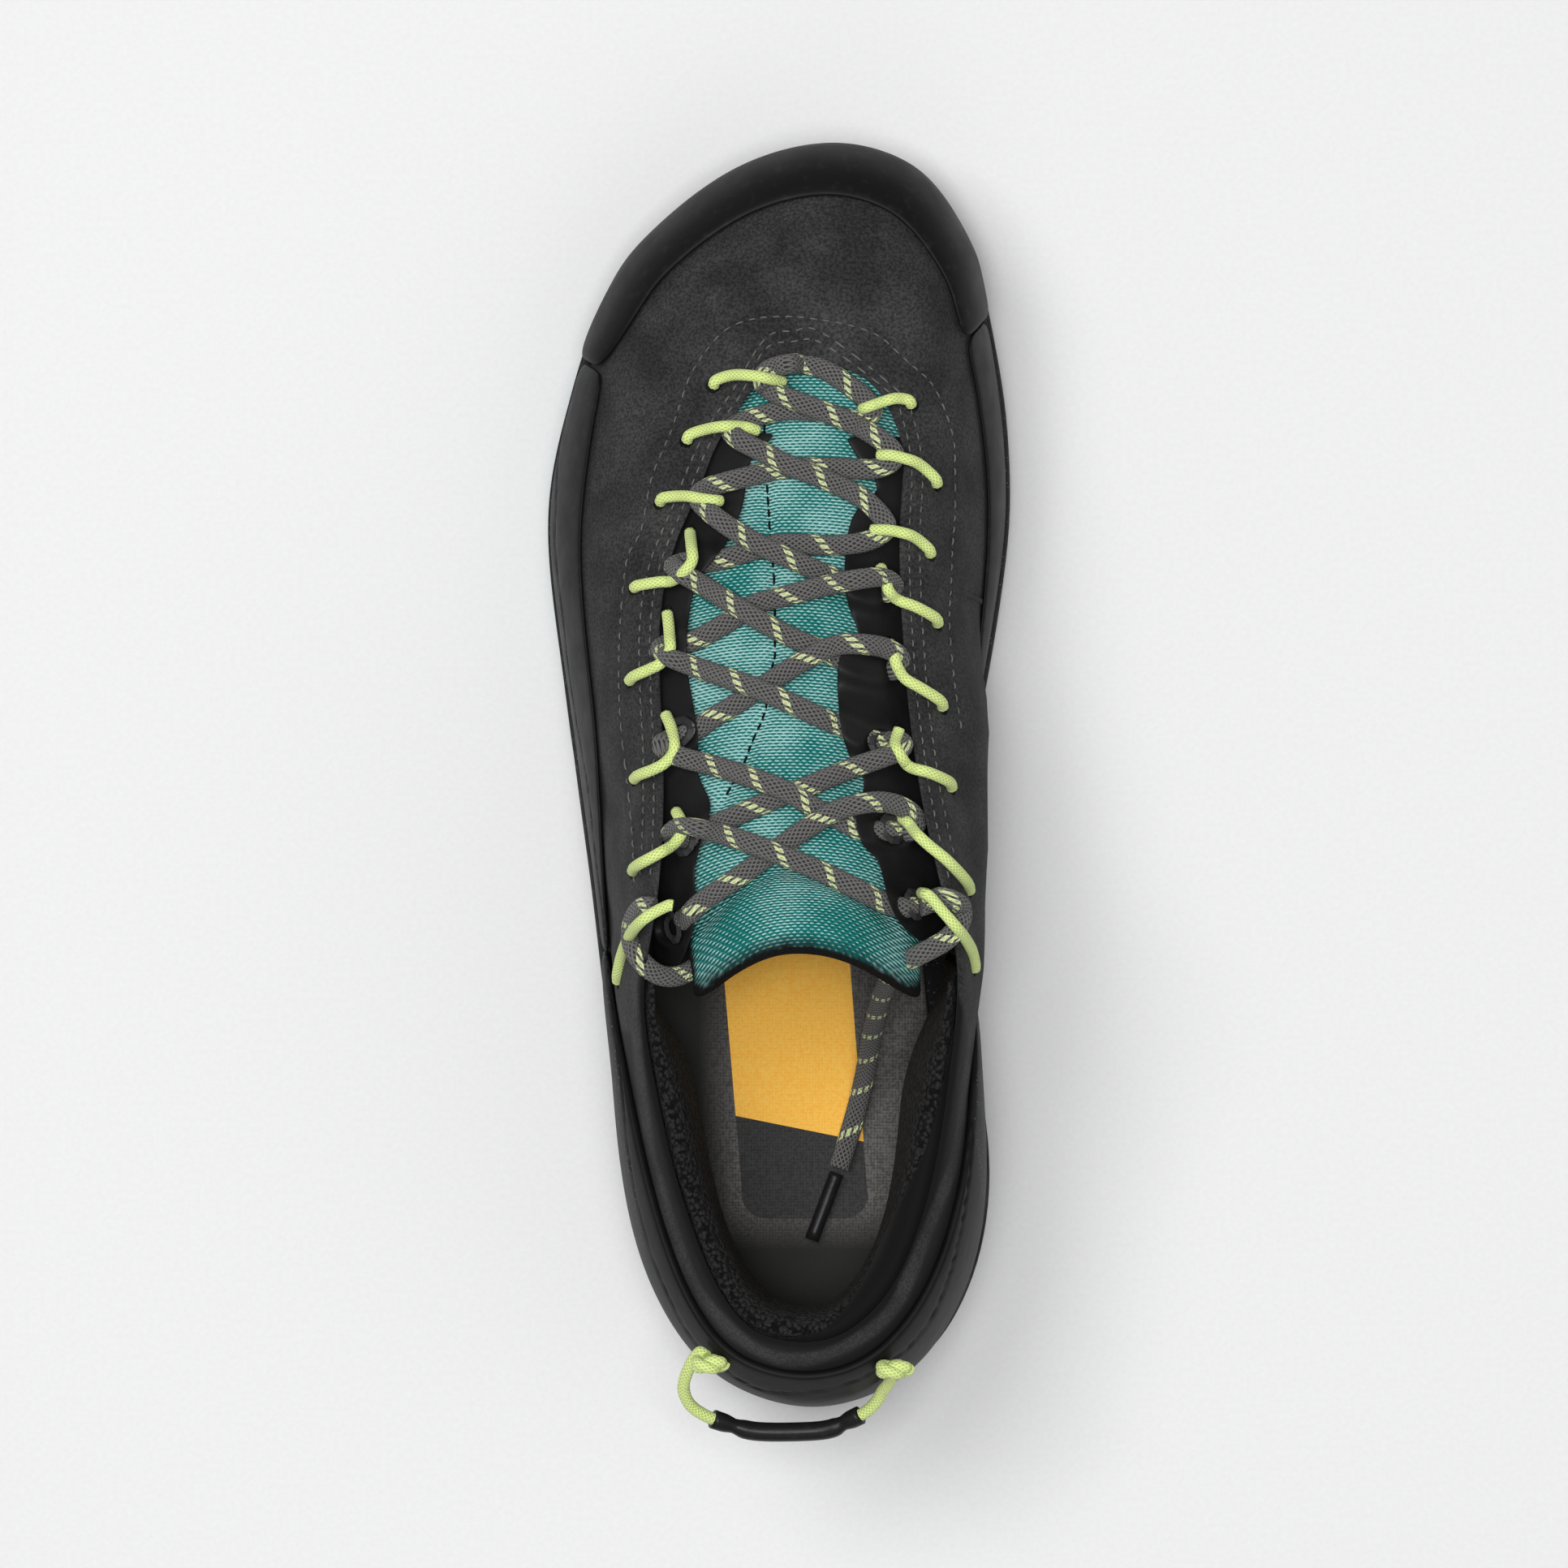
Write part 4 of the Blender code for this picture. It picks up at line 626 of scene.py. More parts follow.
def stitches(name, tree, routes, stitch, gap, thickness, material):
    """Rows of thread stitches laid along lines on a surface, as one mesh."""
    body = bmesh.new()
    for route in routes:
        line = line_on(tree, route, 16)
        travelled = 0.0
        start = None
        for before, after in zip(line, line[1:]):
            travelled += (after - before).length
            if start is None and travelled >= gap:
                start, travelled = after, 0.0
            elif start is not None and travelled >= stitch:
                one_stitch(body, tree, start, after, thickness)
                start, travelled = None, 0.0
    return added(name, body, material)


def one_stitch(body, tree, start, end, thickness):
    """A low arched thread between two places."""
    along = (end - start).normalized()
    _, normal, _, _ = tree.find_nearest((start + end) / 2)
    if normal.z < 0:
        normal = -normal
    side = normal.cross(along).normalized()
    rings = []
    for share, swell, rise in STITCH_FORM:
        middle = start.lerp(end, share) + normal * thickness * rise
        rings.append(ring_round(body, middle, side * swell, normal * swell, thickness, thickness, 6))
    skinned(body, rings)


def ring_round(body, middle, side, up, width, height, sides):
    """Points of an oval round a place."""
    turns = [2 * math.pi * k / sides for k in range(sides)]
    return [body.verts.new(middle + side * math.cos(t) * width / 2 + up * math.sin(t) * height / 2) for t in turns]


def skinned(body, rings):
    """Joins rings with smooth faces and closes both ends. The rings turn from side to up, and follow each
    other along side crossed with up, so that the faces point outwards."""
    faces = [body.faces.new(rings[0][::-1]), body.faces.new(rings[-1])]
    for one, two in zip(rings, rings[1:]):
        for k, m in zip(range(len(one)), [*range(1, len(one)), 0]):
            faces.append(body.faces.new((one[k], one[m], two[m], two[k])))
    for face in faces:
        face.smooth = True


def added(name, body, material):
    """A new piece from a body of faces, riding on the shoe."""
    mesh = bpy.data.meshes.new(name)
    body.to_mesh(mesh)
    body.free()
    piece = bpy.data.objects.new(name, mesh)
    bpy.context.scene.collection.objects.link(piece)
    piece.data.materials.append(material)
    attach(piece, "root")
    return piece


def throat_edge(shell, others, side):
    """Where the suede's throat edge shows, row by row: (across, down) places from the toe back."""
    outward = -1 if side == "lateral" else 1
    edge = []
    for down in range(540, 1170, 30):
        for step in range(220):
            across = 712 + outward * step
            along = (on_floor(across, down) - EYE).normalized()
            hit, _, _, far = shell.ray_cast(EYE, along)
            cover, _, _, near = others.ray_cast(EYE, along)
            if hit is not None and (cover is None or far < near):
                edge.append((across, down))
                break
    return edge


OUTER_SEAM = [
    (519, 1149), (515, 1067), (502, 945), (500, 863), (504, 792), (511, 741), (527, 710), (539, 649),
    (555, 608), (564, 588), (576, 551), (588, 518), (609, 486), (633, 461), (666, 449), (706, 446),
    (747, 450), (788, 458), (821, 471), (853, 500), (882, 526), (898, 555), (911, 596), (913, 629),
    (913, 690), (910, 731), (908, 782), (906, 822), (911, 884), (917, 929), (923, 965),
]
PANEL_SEAM = [(876, 772), (908, 782), (936, 792), (952, 802)]
TONGUE_SEAM = [
    (680, 560), (679, 610), (682, 656), (685, 700), (690, 761), (692, 855), (688, 880), (680, 933),
    (666, 965), (653, 998), (637, 1027), (625, 1047),
]
CAP_CREASE = [(600, 1190), (633, 1157), (666, 1133), (698, 1120), (727, 1126), (768, 1141), (829, 1173)]

# Soft troughs where the shoe bends: places along each, its half width and its depth in metres.
# A depth below 0 is a ridge.
BENDS = [
    ([(540, 560), (575, 575), (600, 600)], 0.0050, 0.0006),
    ([(500, 640), (530, 650), (560, 690)], 0.0055, 0.0007),
    ([(480, 720), (505, 735), (520, 770)], 0.0045, -0.0005),
    ([(905, 560), (880, 580), (865, 610)], 0.0050, 0.0006),
    ([(935, 650), (915, 665), (900, 700)], 0.0050, 0.0006),
    ([(620, 400), (700, 380), (790, 395)], 0.0090, 0.0005),
    ([(480, 1040), (495, 1070), (520, 1100)], 0.0060, 0.0006),
    ([(470, 1190), (490, 1200), (515, 1230)], 0.0060, 0.0007),
]


def sew(upper, tongue, flaps, paint):
    """Presses the seams and bends into the suede and the tongue, then lays the stitches."""
    shell, mesh = tree_of(upper), tree_of(tongue)
    others = tree_of(tongue, *flaps)
    for route, width, depth in BENDS:
        pressed(upper, line_on(shell, route), width, depth)
    edges = {side: throat_edge(shell, others, side) for side in ("lateral", "medial")}
    rows = [OUTER_SEAM]
    for inset in (11, 24):
        around = [(across - inset, down) for across, down in edges["lateral"]][::-1]
        around += [(680, 497 - inset), (715, 488 - inset), (750, 490 - inset)]
        rows.append(around + [(across + inset, down) for across, down in edges["medial"]])
    for row in rows:
        pressed(upper, line_on(shell, row), 0.0011, 0.00025)
    pressed(upper, line_on(shell, PANEL_SEAM), 0.0007, 0.0006)
    stitches("suede_stitches", tree_of(upper), rows, 0.0015, 0.0008, 0.00036, paint["thread"])
    pressed(tongue, line_on(mesh, TONGUE_SEAM), 0.0012, 0.0007)
    stitches("tongue_stitches", tree_of(tongue), [TONGUE_SEAM], 0.0019, 0.0003, 0.00052, paint["hole"])
    edge = line_on(tree_of(upper), PANEL_SEAM, 8)
    cord_mesh("panel_edge", edge, 0.0014, 0.0011, paint["suede"], sides=10)
    pressed(tongue, line_on(mesh, CAP_CREASE), 0.0028, 0.0017)
    marked(tongue, "bound", cap_edge(mesh), 0.0023)
    held = line_on(shell, edges["lateral"], 4) + line_on(shell, edges["medial"], 4)
    rings = [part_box(name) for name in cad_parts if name.startswith("eyelet")]
    return held + [(Vector(low) + Vector(high)) / 2 for low, high in rings]


def in_view(place):
    """Where a place on the shoe shows: across and down."""
    floor = EYE + (place - EYE) / (1 - place.z / EYE.z)
    return (floor.x - MIDDLE_X) / PIXEL + MIDDLE_ACROSS, HEEL_DOWN - (floor.y - HEEL_Y) / PIXEL


def beyond(piece, name, outline, fade):
    """Marks a piece's points that show outside an outline, fading over that many places."""
    ring = np.array(curve_through(outline + outline[:1], 6))
    first, second = ring[:-1], ring[1:]
    along = second - first
    layer = piece.data.attributes.new(name, "FLOAT", "POINT")
    for vertex in piece.data.vertices:
        spot = np.array(in_view(vertex.co))
        share = np.clip(((spot - first) * along).sum(1) / np.maximum((along**2).sum(1), 1e-9), 0, 1)
        gap = np.hypot(*(first + along * share[:, None] - spot).T).min()
        over = (first[:, 1] > spot[1]) != (second[:, 1] > spot[1])
        with np.errstate(divide="ignore", invalid="ignore"):
            cut = first[:, 0] + (spot[1] - first[:, 1]) / along[:, 1] * along[:, 0]
        inside = (over & (cut > spot[0])).sum() % 2 == 1
        layer.data[vertex.index].value = min(1.0, max(0.0, 0.5 + (-gap if inside else gap) / fade))


def eased(value, low, high):
    """0 at low, 1 at high, smooth between."""
    share = min(1.0, max(0.0, (value - low) / (high - low)))
    return share * share * (3 - 2 * share)


# How far the suede bulges over the sole at the instep's inner side: y and the bulge, in metres
WAIST = [
    (-0.066, 0.0), (-0.052, 0.0012), (-0.040, 0.0027), (-0.027, 0.0032), (-0.015, 0.0042),
    (-0.003, 0.0044), (0.009, 0.0045), (0.016, 0.0034), (0.023, 0.0015), (0.034, 0.0),
]


def bulge_waist(upper):
    """Lets the suede swell over the sole's inner edge."""
    for vertex in upper.data.vertices:
        x, y, z = vertex.co
        swell = np.interp(y, [row[0] for row in WAIST], [row[1] for row in WAIST], left=0, right=0)
        if swell and x > 0.015:
            vertex.co.x += swell * eased(x, 0.015, 0.032) * eased(z, 0.016, 0.030) * (1 - eased(z, 0.056, 0.078))
    upper.data.update()


def thicken_heel(counter):
    """Lets the heel band stand proud of the suede, outwards only."""
    for vertex, normal in [(vertex, vertex.normal.copy()) for vertex in counter.data.vertices]:
        away = Vector((vertex.co.x - MIDDLE_X, min(0.0, vertex.co.y - HEEL_Y - HEEL_ROUND), 0)).normalized()
        vertex.co += normal * HEEL_PROUD * eased(normal.dot(away), 0.0, 0.5) * eased(-vertex.co.y, 0.03, 0.08)
    counter.data.update()


# Where the smooth band ends and the speckled foam begins, round the shoe from the toe's outer side
BAND_EDGE = [
    (446, 526), (432, 579), (424, 623), (422, 671), (420, 719), (424, 767), (430, 815), (437, 879), (447, 945),
    (461, 1027), (470, 1108), (480, 1190), (488, 1271), (494, 1327), (503, 1403), (511, 1480), (526, 1556),
    (551, 1633), (593, 1710), (654, 1760), (708, 1773), (785, 1760), (863, 1710), (905, 1633), (930, 1518),
    (936, 1403), (1000, 1250), (1000, 400), (700, 200), (500, 300),
]
# The foam shows outside that edge along the outer side alone, so its outline leaves the shoe before the heel
FOAM_EDGE = BAND_EDGE[:17] + [(550, 1720), (600, 1860), (820, 1880), (960, 1720)] + BAND_EDGE[-5:]
# Where the suede ends and the smooth roll of the collar begins, from the outer side round the heel
ROLL_EDGE = [
    (520, 1240), (526, 1326), (534, 1403), (545, 1480), (557, 1518), (574, 1575), (597, 1633), (624, 1671),
    (666, 1709), (700, 1722), (740, 1722), (776, 1709), (826, 1671), (847, 1633), (872, 1575), (908, 1480),
    (920, 1403), (928, 1326), (906, 1260), (860, 1240), (720, 1330), (570, 1240),
]
# Where the smooth roll ends and the pile begins
PILE_EDGE = [
    (524, 1240), (530, 1326), (541, 1403), (559, 1480), (572, 1518), (591, 1575), (612, 1633), (635, 1671),
    (670, 1697), (708, 1707), (746, 1697), (773, 1671), (798, 1633), (817, 1594), (834, 1556), (853, 1518),
    (872, 1480), (886, 1441), (899, 1403), (905, 1365), (912, 1326), (916, 1240),
]
# Where the suede strip ends and the black heel begins
STRIP_EDGE = [
    (514, 1330), (522, 1403), (530, 1480), (557, 1575), (581, 1633), (604, 1671), (643, 1712), (715, 1743),
    (800, 1712), (845, 1671), (865, 1633), (886, 1575), (923, 1480), (933, 1403), (940, 1330), (1020, 1200),
    (1020, 200), (380, 200), (380, 1200),
]


def cap_edge(mesh):
    """The tongue cap's rear edge as it shows."""
    edge = []
    for across in range(556, 900, 3):
        last = None
        for down in range(1180, 1330, 2):
            place, _ = seen(mesh, across, down)
            if place is not None and place.z > 0.06:
                last = place
        if last is not None:
            edge.append(last)
    return edge


def hole_shades(cover, paint):
    """Painted shade of holes: near-black discs on the suede and the flaps, where the loops and the lace go through."""
    places = [(route[0][0], route[0][1], 0.0016) for route in LOOPS.values()]
    places += [(route[-1][0], route[-1][1], 0.0015) for name, route in LOOPS.items() if int(name[-1]) > 3]
    body = bmesh.new()
    for across, down, radius in places:
        middle, normal = seen(cover, across, down)
        if middle is None:
            continue
        side = normal.orthogonal().normalized()
        front = normal.cross(side)
        rings = []
        for reach, rise in HOLE_FORM:
            width = 2 * radius * reach
            rings.append(ring_round(body, middle + normal * rise, side, front, width, width, 12))
        skinned(body, rings)
    added("loop_hole_shades", body, paint["hole"])


# Cords


def cord_mesh(name, points, width, height, material, sides=14):
    """A braided cord along points: an oval tube with its own map, around and along in metres."""
    points = [Vector(point) for point in points]
    count = len(points)
    length = 0.0
    rings = []
    up = Vector((0, 0, 1))
    body = bmesh.new()
    marks = []
    for i, point in enumerate(points):
        ahead = (points[min(i + 1, count - 1)] - points[max(i - 1, 0)]).normalized()
        if width != height:
            up = up.lerp(Vector((0, 0, math.copysign(1.0, up.z))), LEVELLING)
        side = ahead.cross(up)
        if side.length < 0.05:
            side = ahead.orthogonal()
        side.normalize()
        up = side.cross(ahead).normalized()
        if i:
            length += (point - points[i - 1]).length
        rings.append(ring_round(body, point, side, up, width, height, sides))
        marks.append(length)
    layer = body.loops.layers.uv.new("braid")
    for i in range(count - 1):
        for k in range(sides):
            m = (k + 1) % sides
            face = body.faces.new((rings[i][k], rings[i + 1][k], rings[i + 1][m], rings[i][m]))
            face.smooth = True
            corners = ((k, i), (k, i + 1), (k + 1, i + 1), (k + 1, i))
            for loop, (turn, row) in zip(face.loops, corners):
                loop[layer].uv = (turn / sides, marks[row])
    for ring, mark in ((rings[0], marks[0]), (rings[-1][::-1], marks[-1])):
        for loop in body.faces.new(ring).loops:
            loop[layer].uv = (0, mark)
    bmesh.ops.recalc_face_normals(body, faces=body.faces)
    return added(name, body, material), length


def softened(values, reach):
    """A running mean of a row of numbers, held at its ends."""
    values = np.array(values, dtype=float)
    padded = np.concatenate([np.repeat(values[:1], reach), values, np.repeat(values[-1:], reach)])
    return np.convolve(padded, np.ones(2 * reach + 1) / (2 * reach + 1), mode="valid")


def evened(path, pitch=0.0012):
    """The same run with even steps and no kinks."""
    places = np.array([tuple(place) for place in path])
    travelled = np.concatenate([[0.0], np.cumsum(np.linalg.norm(np.diff(places, axis=0), axis=1))])
    steps = np.linspace(0, travelled[-1], max(8, int(travelled[-1] / pitch)))
    even = np.array([softened(np.interp(steps, travelled, places[:, axis]), 2) for axis in range(3)]).T
    return [Vector(place) for place in even]


def laid_cord(tree, route, width, height, steps=8, under=None):
    """Points of a cord laid over a surface through places in the view, each with its layer.
    Where the layer is near -1 it lies on the surface under the flaps instead."""
    samples = curve_through(route, steps)
    lifts = []
    stacked = height * 1.02
    for across, down, layer in samples:
        hidden = under is not None and layer < -0.5
        place, normal = seen(under if hidden else tree, across, down)
        layer = 0.0 if hidden else max(layer, -0.5)
        if place is None or (lifts and place.z < lifts[-1] - DROP):
            lifts.append(lifts[-1] if lifts else 0.03)
        else:
            lifts.append(place.z + height / 2 / max(0.5, normal.z) + layer * stacked)
    raised = np.array(lifts)
    wide = np.array([raised[max(0, i - 2) : i + 3].max() for i in range(len(raised))])
    smooth = softened(wide, 2)
    return [at_height(sample[0], sample[1], z) for sample, z in zip(samples, smooth)]


# The lace's run, from the lateral top eyelet down to the toe and back up to the medial one: across,
# down and the layer, 1 where it lies over another strand and below 0 where it dips under a flap
LACE_FROM_LATERAL = [
    (564, 1198, -1.0), (582, 1187, -1.0), (602, 1167, 0.0), (641, 1141, 0.0), (698, 1100, 0.0), (735, 1074, 0.4),
    (772, 1053, 1.0), (818, 1044, 0.8), (850, 1051, 0.7), (866, 1066, 0.5), (860, 1079, 0.1), (850, 1080, -1.0),
    (832, 1080, -1.0), (812, 1080, -1.0), (795, 1078, -1.0), (772, 1066, 0.0), (747, 1055, 0.1), (706, 1031, 1.0),
    (665, 1015, 0.7), (625, 1002, 0.2), (580, 990, 0.2), (558, 981, 0.4), (553, 972, 0.2), (562, 966, -1.0),
    (580, 962, -1.0), (598, 953, -1.0), (616, 940, 0.0), (640, 926, 0.0), (686, 896, 0.0), (727, 870, 0.5),
    (768, 851, 1.0), (812, 851, 0.6), (840, 860, 0.6), (847, 872, 0.4), (840, 881, 0.0), (832, 882, -1.0),
    (816, 882, -1.0), (795, 877, -1.0), (770, 867, -1.0), (745, 855, 0.0), (712, 841, 0.5), (676, 822, 1.0),
    (641, 801, 0.8), (596, 773, 0.2), (574, 760, 0.4), (566, 752, 0.1), (573, 748, -1.0), (590, 748, -1.0),
    (608, 749, -1.0), (628, 745, 0.0), (655, 737, 0.0), (700, 726, 0.0), (760, 728, 0.0), (800, 724, 0.0),
    (822, 714, 0.4), (828, 700, 0.7), (800, 670, 0.3), (750, 645, 0.6), (706, 628, 1.0), (675, 612, 0.6),
    (645, 596, 0.6), (637, 583, 0.5), (655, 574, 0.0), (700, 562, 0.0), (745, 563, 0.0), (792, 574, 0.0),
    (812, 562, 0.4), (802, 546, 0.2), (760, 515, 0.0), (730, 505, 0.0),
]
LACE_FROM_MEDIAL = [
    (864, 1173, -1.0), (846, 1174, -1.0), (826, 1168, -1.0), (800, 1155, 0.0), (747, 1129, 0.2), (700, 1110, 1.0),
    (655, 1093, 0.9), (612, 1080, 1.0), (580, 1074, 0.7), (564, 1080, 0.3), (566, 1087, -1.0), (582, 1090, -1.0),
    (598, 1085, -1.0), (618, 1073, -0.5), (655, 1056, 0.0), (702, 1036, 0.0), (727, 1027, 0.0), (788, 1002, 0.0),
    (826, 989, 0.4), (848, 980, 0.5), (849, 971, 0.2), (840, 969, -1.0), (822, 970, -1.0), (798, 962, -1.0),
    (776, 952, -1.0), (750, 941, 0.2), (706, 920, 1.0), (658, 900, 0.9), (600, 880, 0.2), (562, 866, 0.4),
    (550, 858, 0.2), (556, 851, -1.0), (572, 849, -1.0), (590, 846, -1.0), (614, 834, 0.0), (641, 818, 0.0),
    (666, 801, 0.0), (706, 790, 0.3), (752, 778, 1.0), (800, 769, 0.8), (825, 768, 0.7), (838, 776, 0.4),
    (833, 785, 0.0), (824, 786, -1.0), (808, 786, -1.0), (788, 779, -1.0), (766, 768, -0.8), (745, 760, 0.0),
    (715, 746, 0.5), (680, 731, 1.0), (640, 708, 0.8), (608, 684, 0.6), (597, 668, 0.5), (612, 656, 0.0),
    (655, 644, 0.0), (706, 633, 0.0), (760, 632, 0.0), (812, 634, 0.0), (838, 622, 0.5), (832, 606, 0.6),
    (800, 584, 0.4), (760, 566, 0.8), (720, 551, 1.0), (690, 539, 0.6), (676, 526, 0.5), (684, 512, 0.1),
    (706, 505, 0.0),
]
# Each end past its top ring, in the same way
END_LATERAL = [
    (546, 1177, 0.4), (538, 1173, 0.5), (528, 1173, 0.4), (517, 1187, 0.3), (513, 1212, 0.2), (522, 1236, 0.2),
]
END_MEDIAL = [
    (866, 1172, 0.0), (880, 1172, 0.7), (894, 1161, 0.5), (912, 1164, 0.4), (924, 1180, 0.2), (912, 1207, 0.3),
    (888, 1223, 0.2), (862, 1236, 0.1),
]
# How the lateral end goes on under the tongue, and the medial one inside the shoe with its tip:
# across, down and height in metres
END_UNDER = [(538, 1253, 0.0852), (556, 1261, 0.0838), (578, 1258, 0.0812), (598, 1245, 0.0790)]
END_INSIDE = [
    (850, 1244, 0.0860), (840, 1254, 0.0830), (832, 1264, 0.0790), (826, 1276, 0.0730), (819, 1300, 0.0615),
    (810, 1340, 0.0460), (803, 1380, 0.0355), (795, 1415, 0.0306), (785, 1450, 0.0296), (777, 1476, 0.0296),
    (769, 1499, 0.0298),
]
END_TIP = [(768, 1502, 0.0296), (760, 1523, 0.0295), (752, 1545, 0.0296), (737, 1584, 0.0298)]

# Each lime loop: out of the suede, over the lace's turn, into the flap
LOOPS = {
    "lateral_1": [(616, 531, -0.6), (620, 524, 0.3), (640, 518, 0.3), (665, 519, 1.5), (690, 524, 1.6),
        (702, 527, 0.2)],
    "lateral_2": [(583, 599, -0.6), (588, 591, 0.3), (610, 584, 0.3), (632, 581, 1.5), (655, 582, 1.6),
        (671, 587, 0.2)],
    "lateral_3": [(550, 675, -0.6), (555, 669, 0.3), (580, 667, 0.3), (600, 670, 1.6), (614, 672, 1.6),
        (625, 673, 0.2)],
    "lateral_4": [(518, 780, -0.6), (524, 777, 0.3), (548, 773, 0.3), (566, 771, 0.5), (583, 757, 0.9),
        (590, 745, 1.0), (589, 730, 0.4), (587, 711, -0.4)],
    "lateral_5": [(512, 895, -0.6), (518, 889, 0.3), (536, 881, 0.3), (551, 873, 0.5), (562, 857, 1.6),
        (562, 843, 0.8), (561, 828, 0.3), (559, 811, -0.4)],
    "lateral_6": [(518, 1016, -0.6), (524, 1011, 0.3), (542, 1004, 0.3), (556, 996, 0.5), (567, 982, 1.6),
        (567, 966, 0.8), (563, 950, 0.3), (557, 936, -0.4)],
    "lateral_7": [(516, 1130, -0.6), (521, 1123, 0.3), (548, 1108, 0.3), (566, 1097, 0.5), (577, 1082, 1.6),
        (576, 1068, 1.0), (570, 1056, -0.3)],
    "lateral_8": [(498, 1266, -0.6), (498, 1255, 0.3), (503, 1232, 0.3), (512, 1210, 0.3), (524, 1194, 1.7),
        (540, 1182, 1.8), (560, 1172, 0.3), (566, 1172, -0.2)],
    "medial_1": [(860, 555, -0.6), (856, 549, 0.3), (840, 547, 0.3), (822, 552, 1.5), (808, 557, 1.6), (799, 560, 0.2)],
    "medial_2": [(892, 653, -0.6), (888, 644, 0.3), (868, 627, 0.3), (848, 620, 1.5), (834, 617, 1.6), (820, 617, 0.2)],
    "medial_3": [(884, 739, -0.6), (880, 731, 0.3), (862, 717, 0.3), (842, 711, 1.5), (828, 709, 1.6), (811, 709, 0.2)],
    "medial_4": [(893, 825, -0.6), (889, 817, 0.3), (866, 804, 0.3), (843, 795, 0.4), (832, 784, 1.6),
        (828, 770, 1.2), (822, 755, -0.2)],
    "medial_5": [(899, 928, -0.6), (895, 919, 0.3), (872, 904, 0.3), (852, 892, 0.4), (842, 876, 1.6),
        (838, 862, 1.2), (833, 848, -0.2)],
    "medial_6": [(910, 1027, -0.6), (906, 1019, 0.3), (882, 1008, 0.3), (858, 1001, 0.4), (846, 986, 1.6),
        (840, 972, 1.0), (845, 954, -0.2)],
    "medial_7": [(932, 1154, -0.6), (928, 1142, 0.3), (905, 1117, 0.3), (882, 1098, 0.3), (866, 1083, 1.6),
        (856, 1070, 1.2), (847, 1063, -0.1)],
    "medial_8": [(938, 1250, -0.6), (938, 1242, 0.3), (934, 1226, 0.3), (924, 1209, 0.3), (910, 1192, 1.7),
        (896, 1176, 1.8), (882, 1160, 0.5), (872, 1156, -0.2)],
}


def plan_tree(places):
    """A tree of places seen from above."""
    tree = KDTree(len(places))
    for i, place in enumerate(places):
        tree.insert(Vector((place[0], place[1], 0)), i)
    tree.balance()
    return tree


def lifted_over(flap, strands, held):
    """Raises a flap where strands run under it, but not near the places where it is held."""
    strands, held = plan_tree(strands), plan_tree(held)
    for vertex in flap.data.vertices:
        where = Vector((vertex.co.x, vertex.co.y, 0))
        gap = max(0.0, strands.find(where)[2] - LACE_WIDTH * 0.35)
        free = min(1.0, max(0.0, (held.find(where)[2] - HELD_NEAR) / HELD_EASE))
        vertex.co.z += LACE_HEIGHT * free * math.exp(-((gap / UNDER_REACH) ** 2))
    flap.data.update()


def lace_run(tree, under):
    """The lace's places from the lateral top eyelet to the medial one, and those under a flap."""
    run = LACE_FROM_LATERAL + LACE_FROM_MEDIAL[::-1]
    path = laid_cord(tree, run, LACE_WIDTH, LACE_HEIGHT, under=under)
    layers = curve_through(run, 8)[:, 2]
    return path, [place for place, layer in zip(path, layers) if layer < -0.5]


def threaded(tree, cover, under, paint):
    """The lace, its two ends and the lime loops that carry it."""
    path, _ = lace_run(tree, under)
    lace, _ = cord_mesh("lace_run", path, LACE_WIDTH, LACE_HEIGHT, paint["lace"])
    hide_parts("lace")
    for side, route, further, far_end, nodes in (
        ("lateral", END_LATERAL, END_UNDER, "object", ["lace_end_lateral"]),
        ("medial", END_MEDIAL, END_INSIDE, "fitting", ["lace_end_medial", "lace_end_inside"]),
    ):
        path = laid_cord(cover, route, LACE_WIDTH, LACE_HEIGHT)
        path = evened(path + [at_height(*place) for place in curve_through(further, 5)])
        end, length = cord_mesh("lace_" + side + "_end", path, LACE_WIDTH, LACE_HEIGHT, paint["lace"])
        tips = (aglet(paint["plastic"]),) if far_end == "fitting" else ()
        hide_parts(*nodes)
        tuple(path[0])
        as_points(path)
    for name, route in LOOPS.items():
        path = laid_cord(tree, route, LOOP_WIDTH, LOOP_WIDTH, 6)
        loop, _ = cord_mesh("lime_loop_" + name, path, LOOP_WIDTH, LOOP_WIDTH, paint["lime"], sides=12)
        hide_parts("loop_" + name)


def aglet(plastic):
    """The lace's hard tip."""
    path = [at_height(*place) for place in curve_through(END_TIP, 4)]
    tip, _ = cord_mesh("lace_aglet", path, 0.0030, 0.0027, plastic, sides=12)
    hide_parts("lace_tip")
    return tip


# The heel's pull loop: across, down and height in metres
PULL = [
    (612, 1716, 0.0770), (600, 1722, 0.0758), (588, 1738, 0.0736), (579, 1764, 0.0690), (586, 1786, 0.0653),
    (606, 1801, 0.0626), (636, 1812, 0.0606), (666, 1820, 0.0598), (712, 1821, 0.0598), (756, 1818, 0.0600),
    (780, 1808, 0.0610), (805, 1795, 0.0625), (821, 1777, 0.0653), (829, 1752, 0.0700), (828, 1734, 0.0740),
    (824, 1722, 0.0766),
]
SLEEVE_FROM, SLEEVE_TO = 0.36, 0.71


def outside_heel(tree, point, distance):
    """A point moved back until it is that far outside the heel's surface."""
    middle = Vector((MIDDLE_X, HEEL_Y + HEEL_ROUND, point.z))
    away = (point - middle).normalized()
    hit, normal, _, _ = tree.ray_cast(point + away * 0.05, -away)
    if hit is None:
        return point
    wanted = hit + away * (distance / max(GRAZING, normal.dot(away)))
    return wanted if (wanted - middle).length > (point - middle).length else point


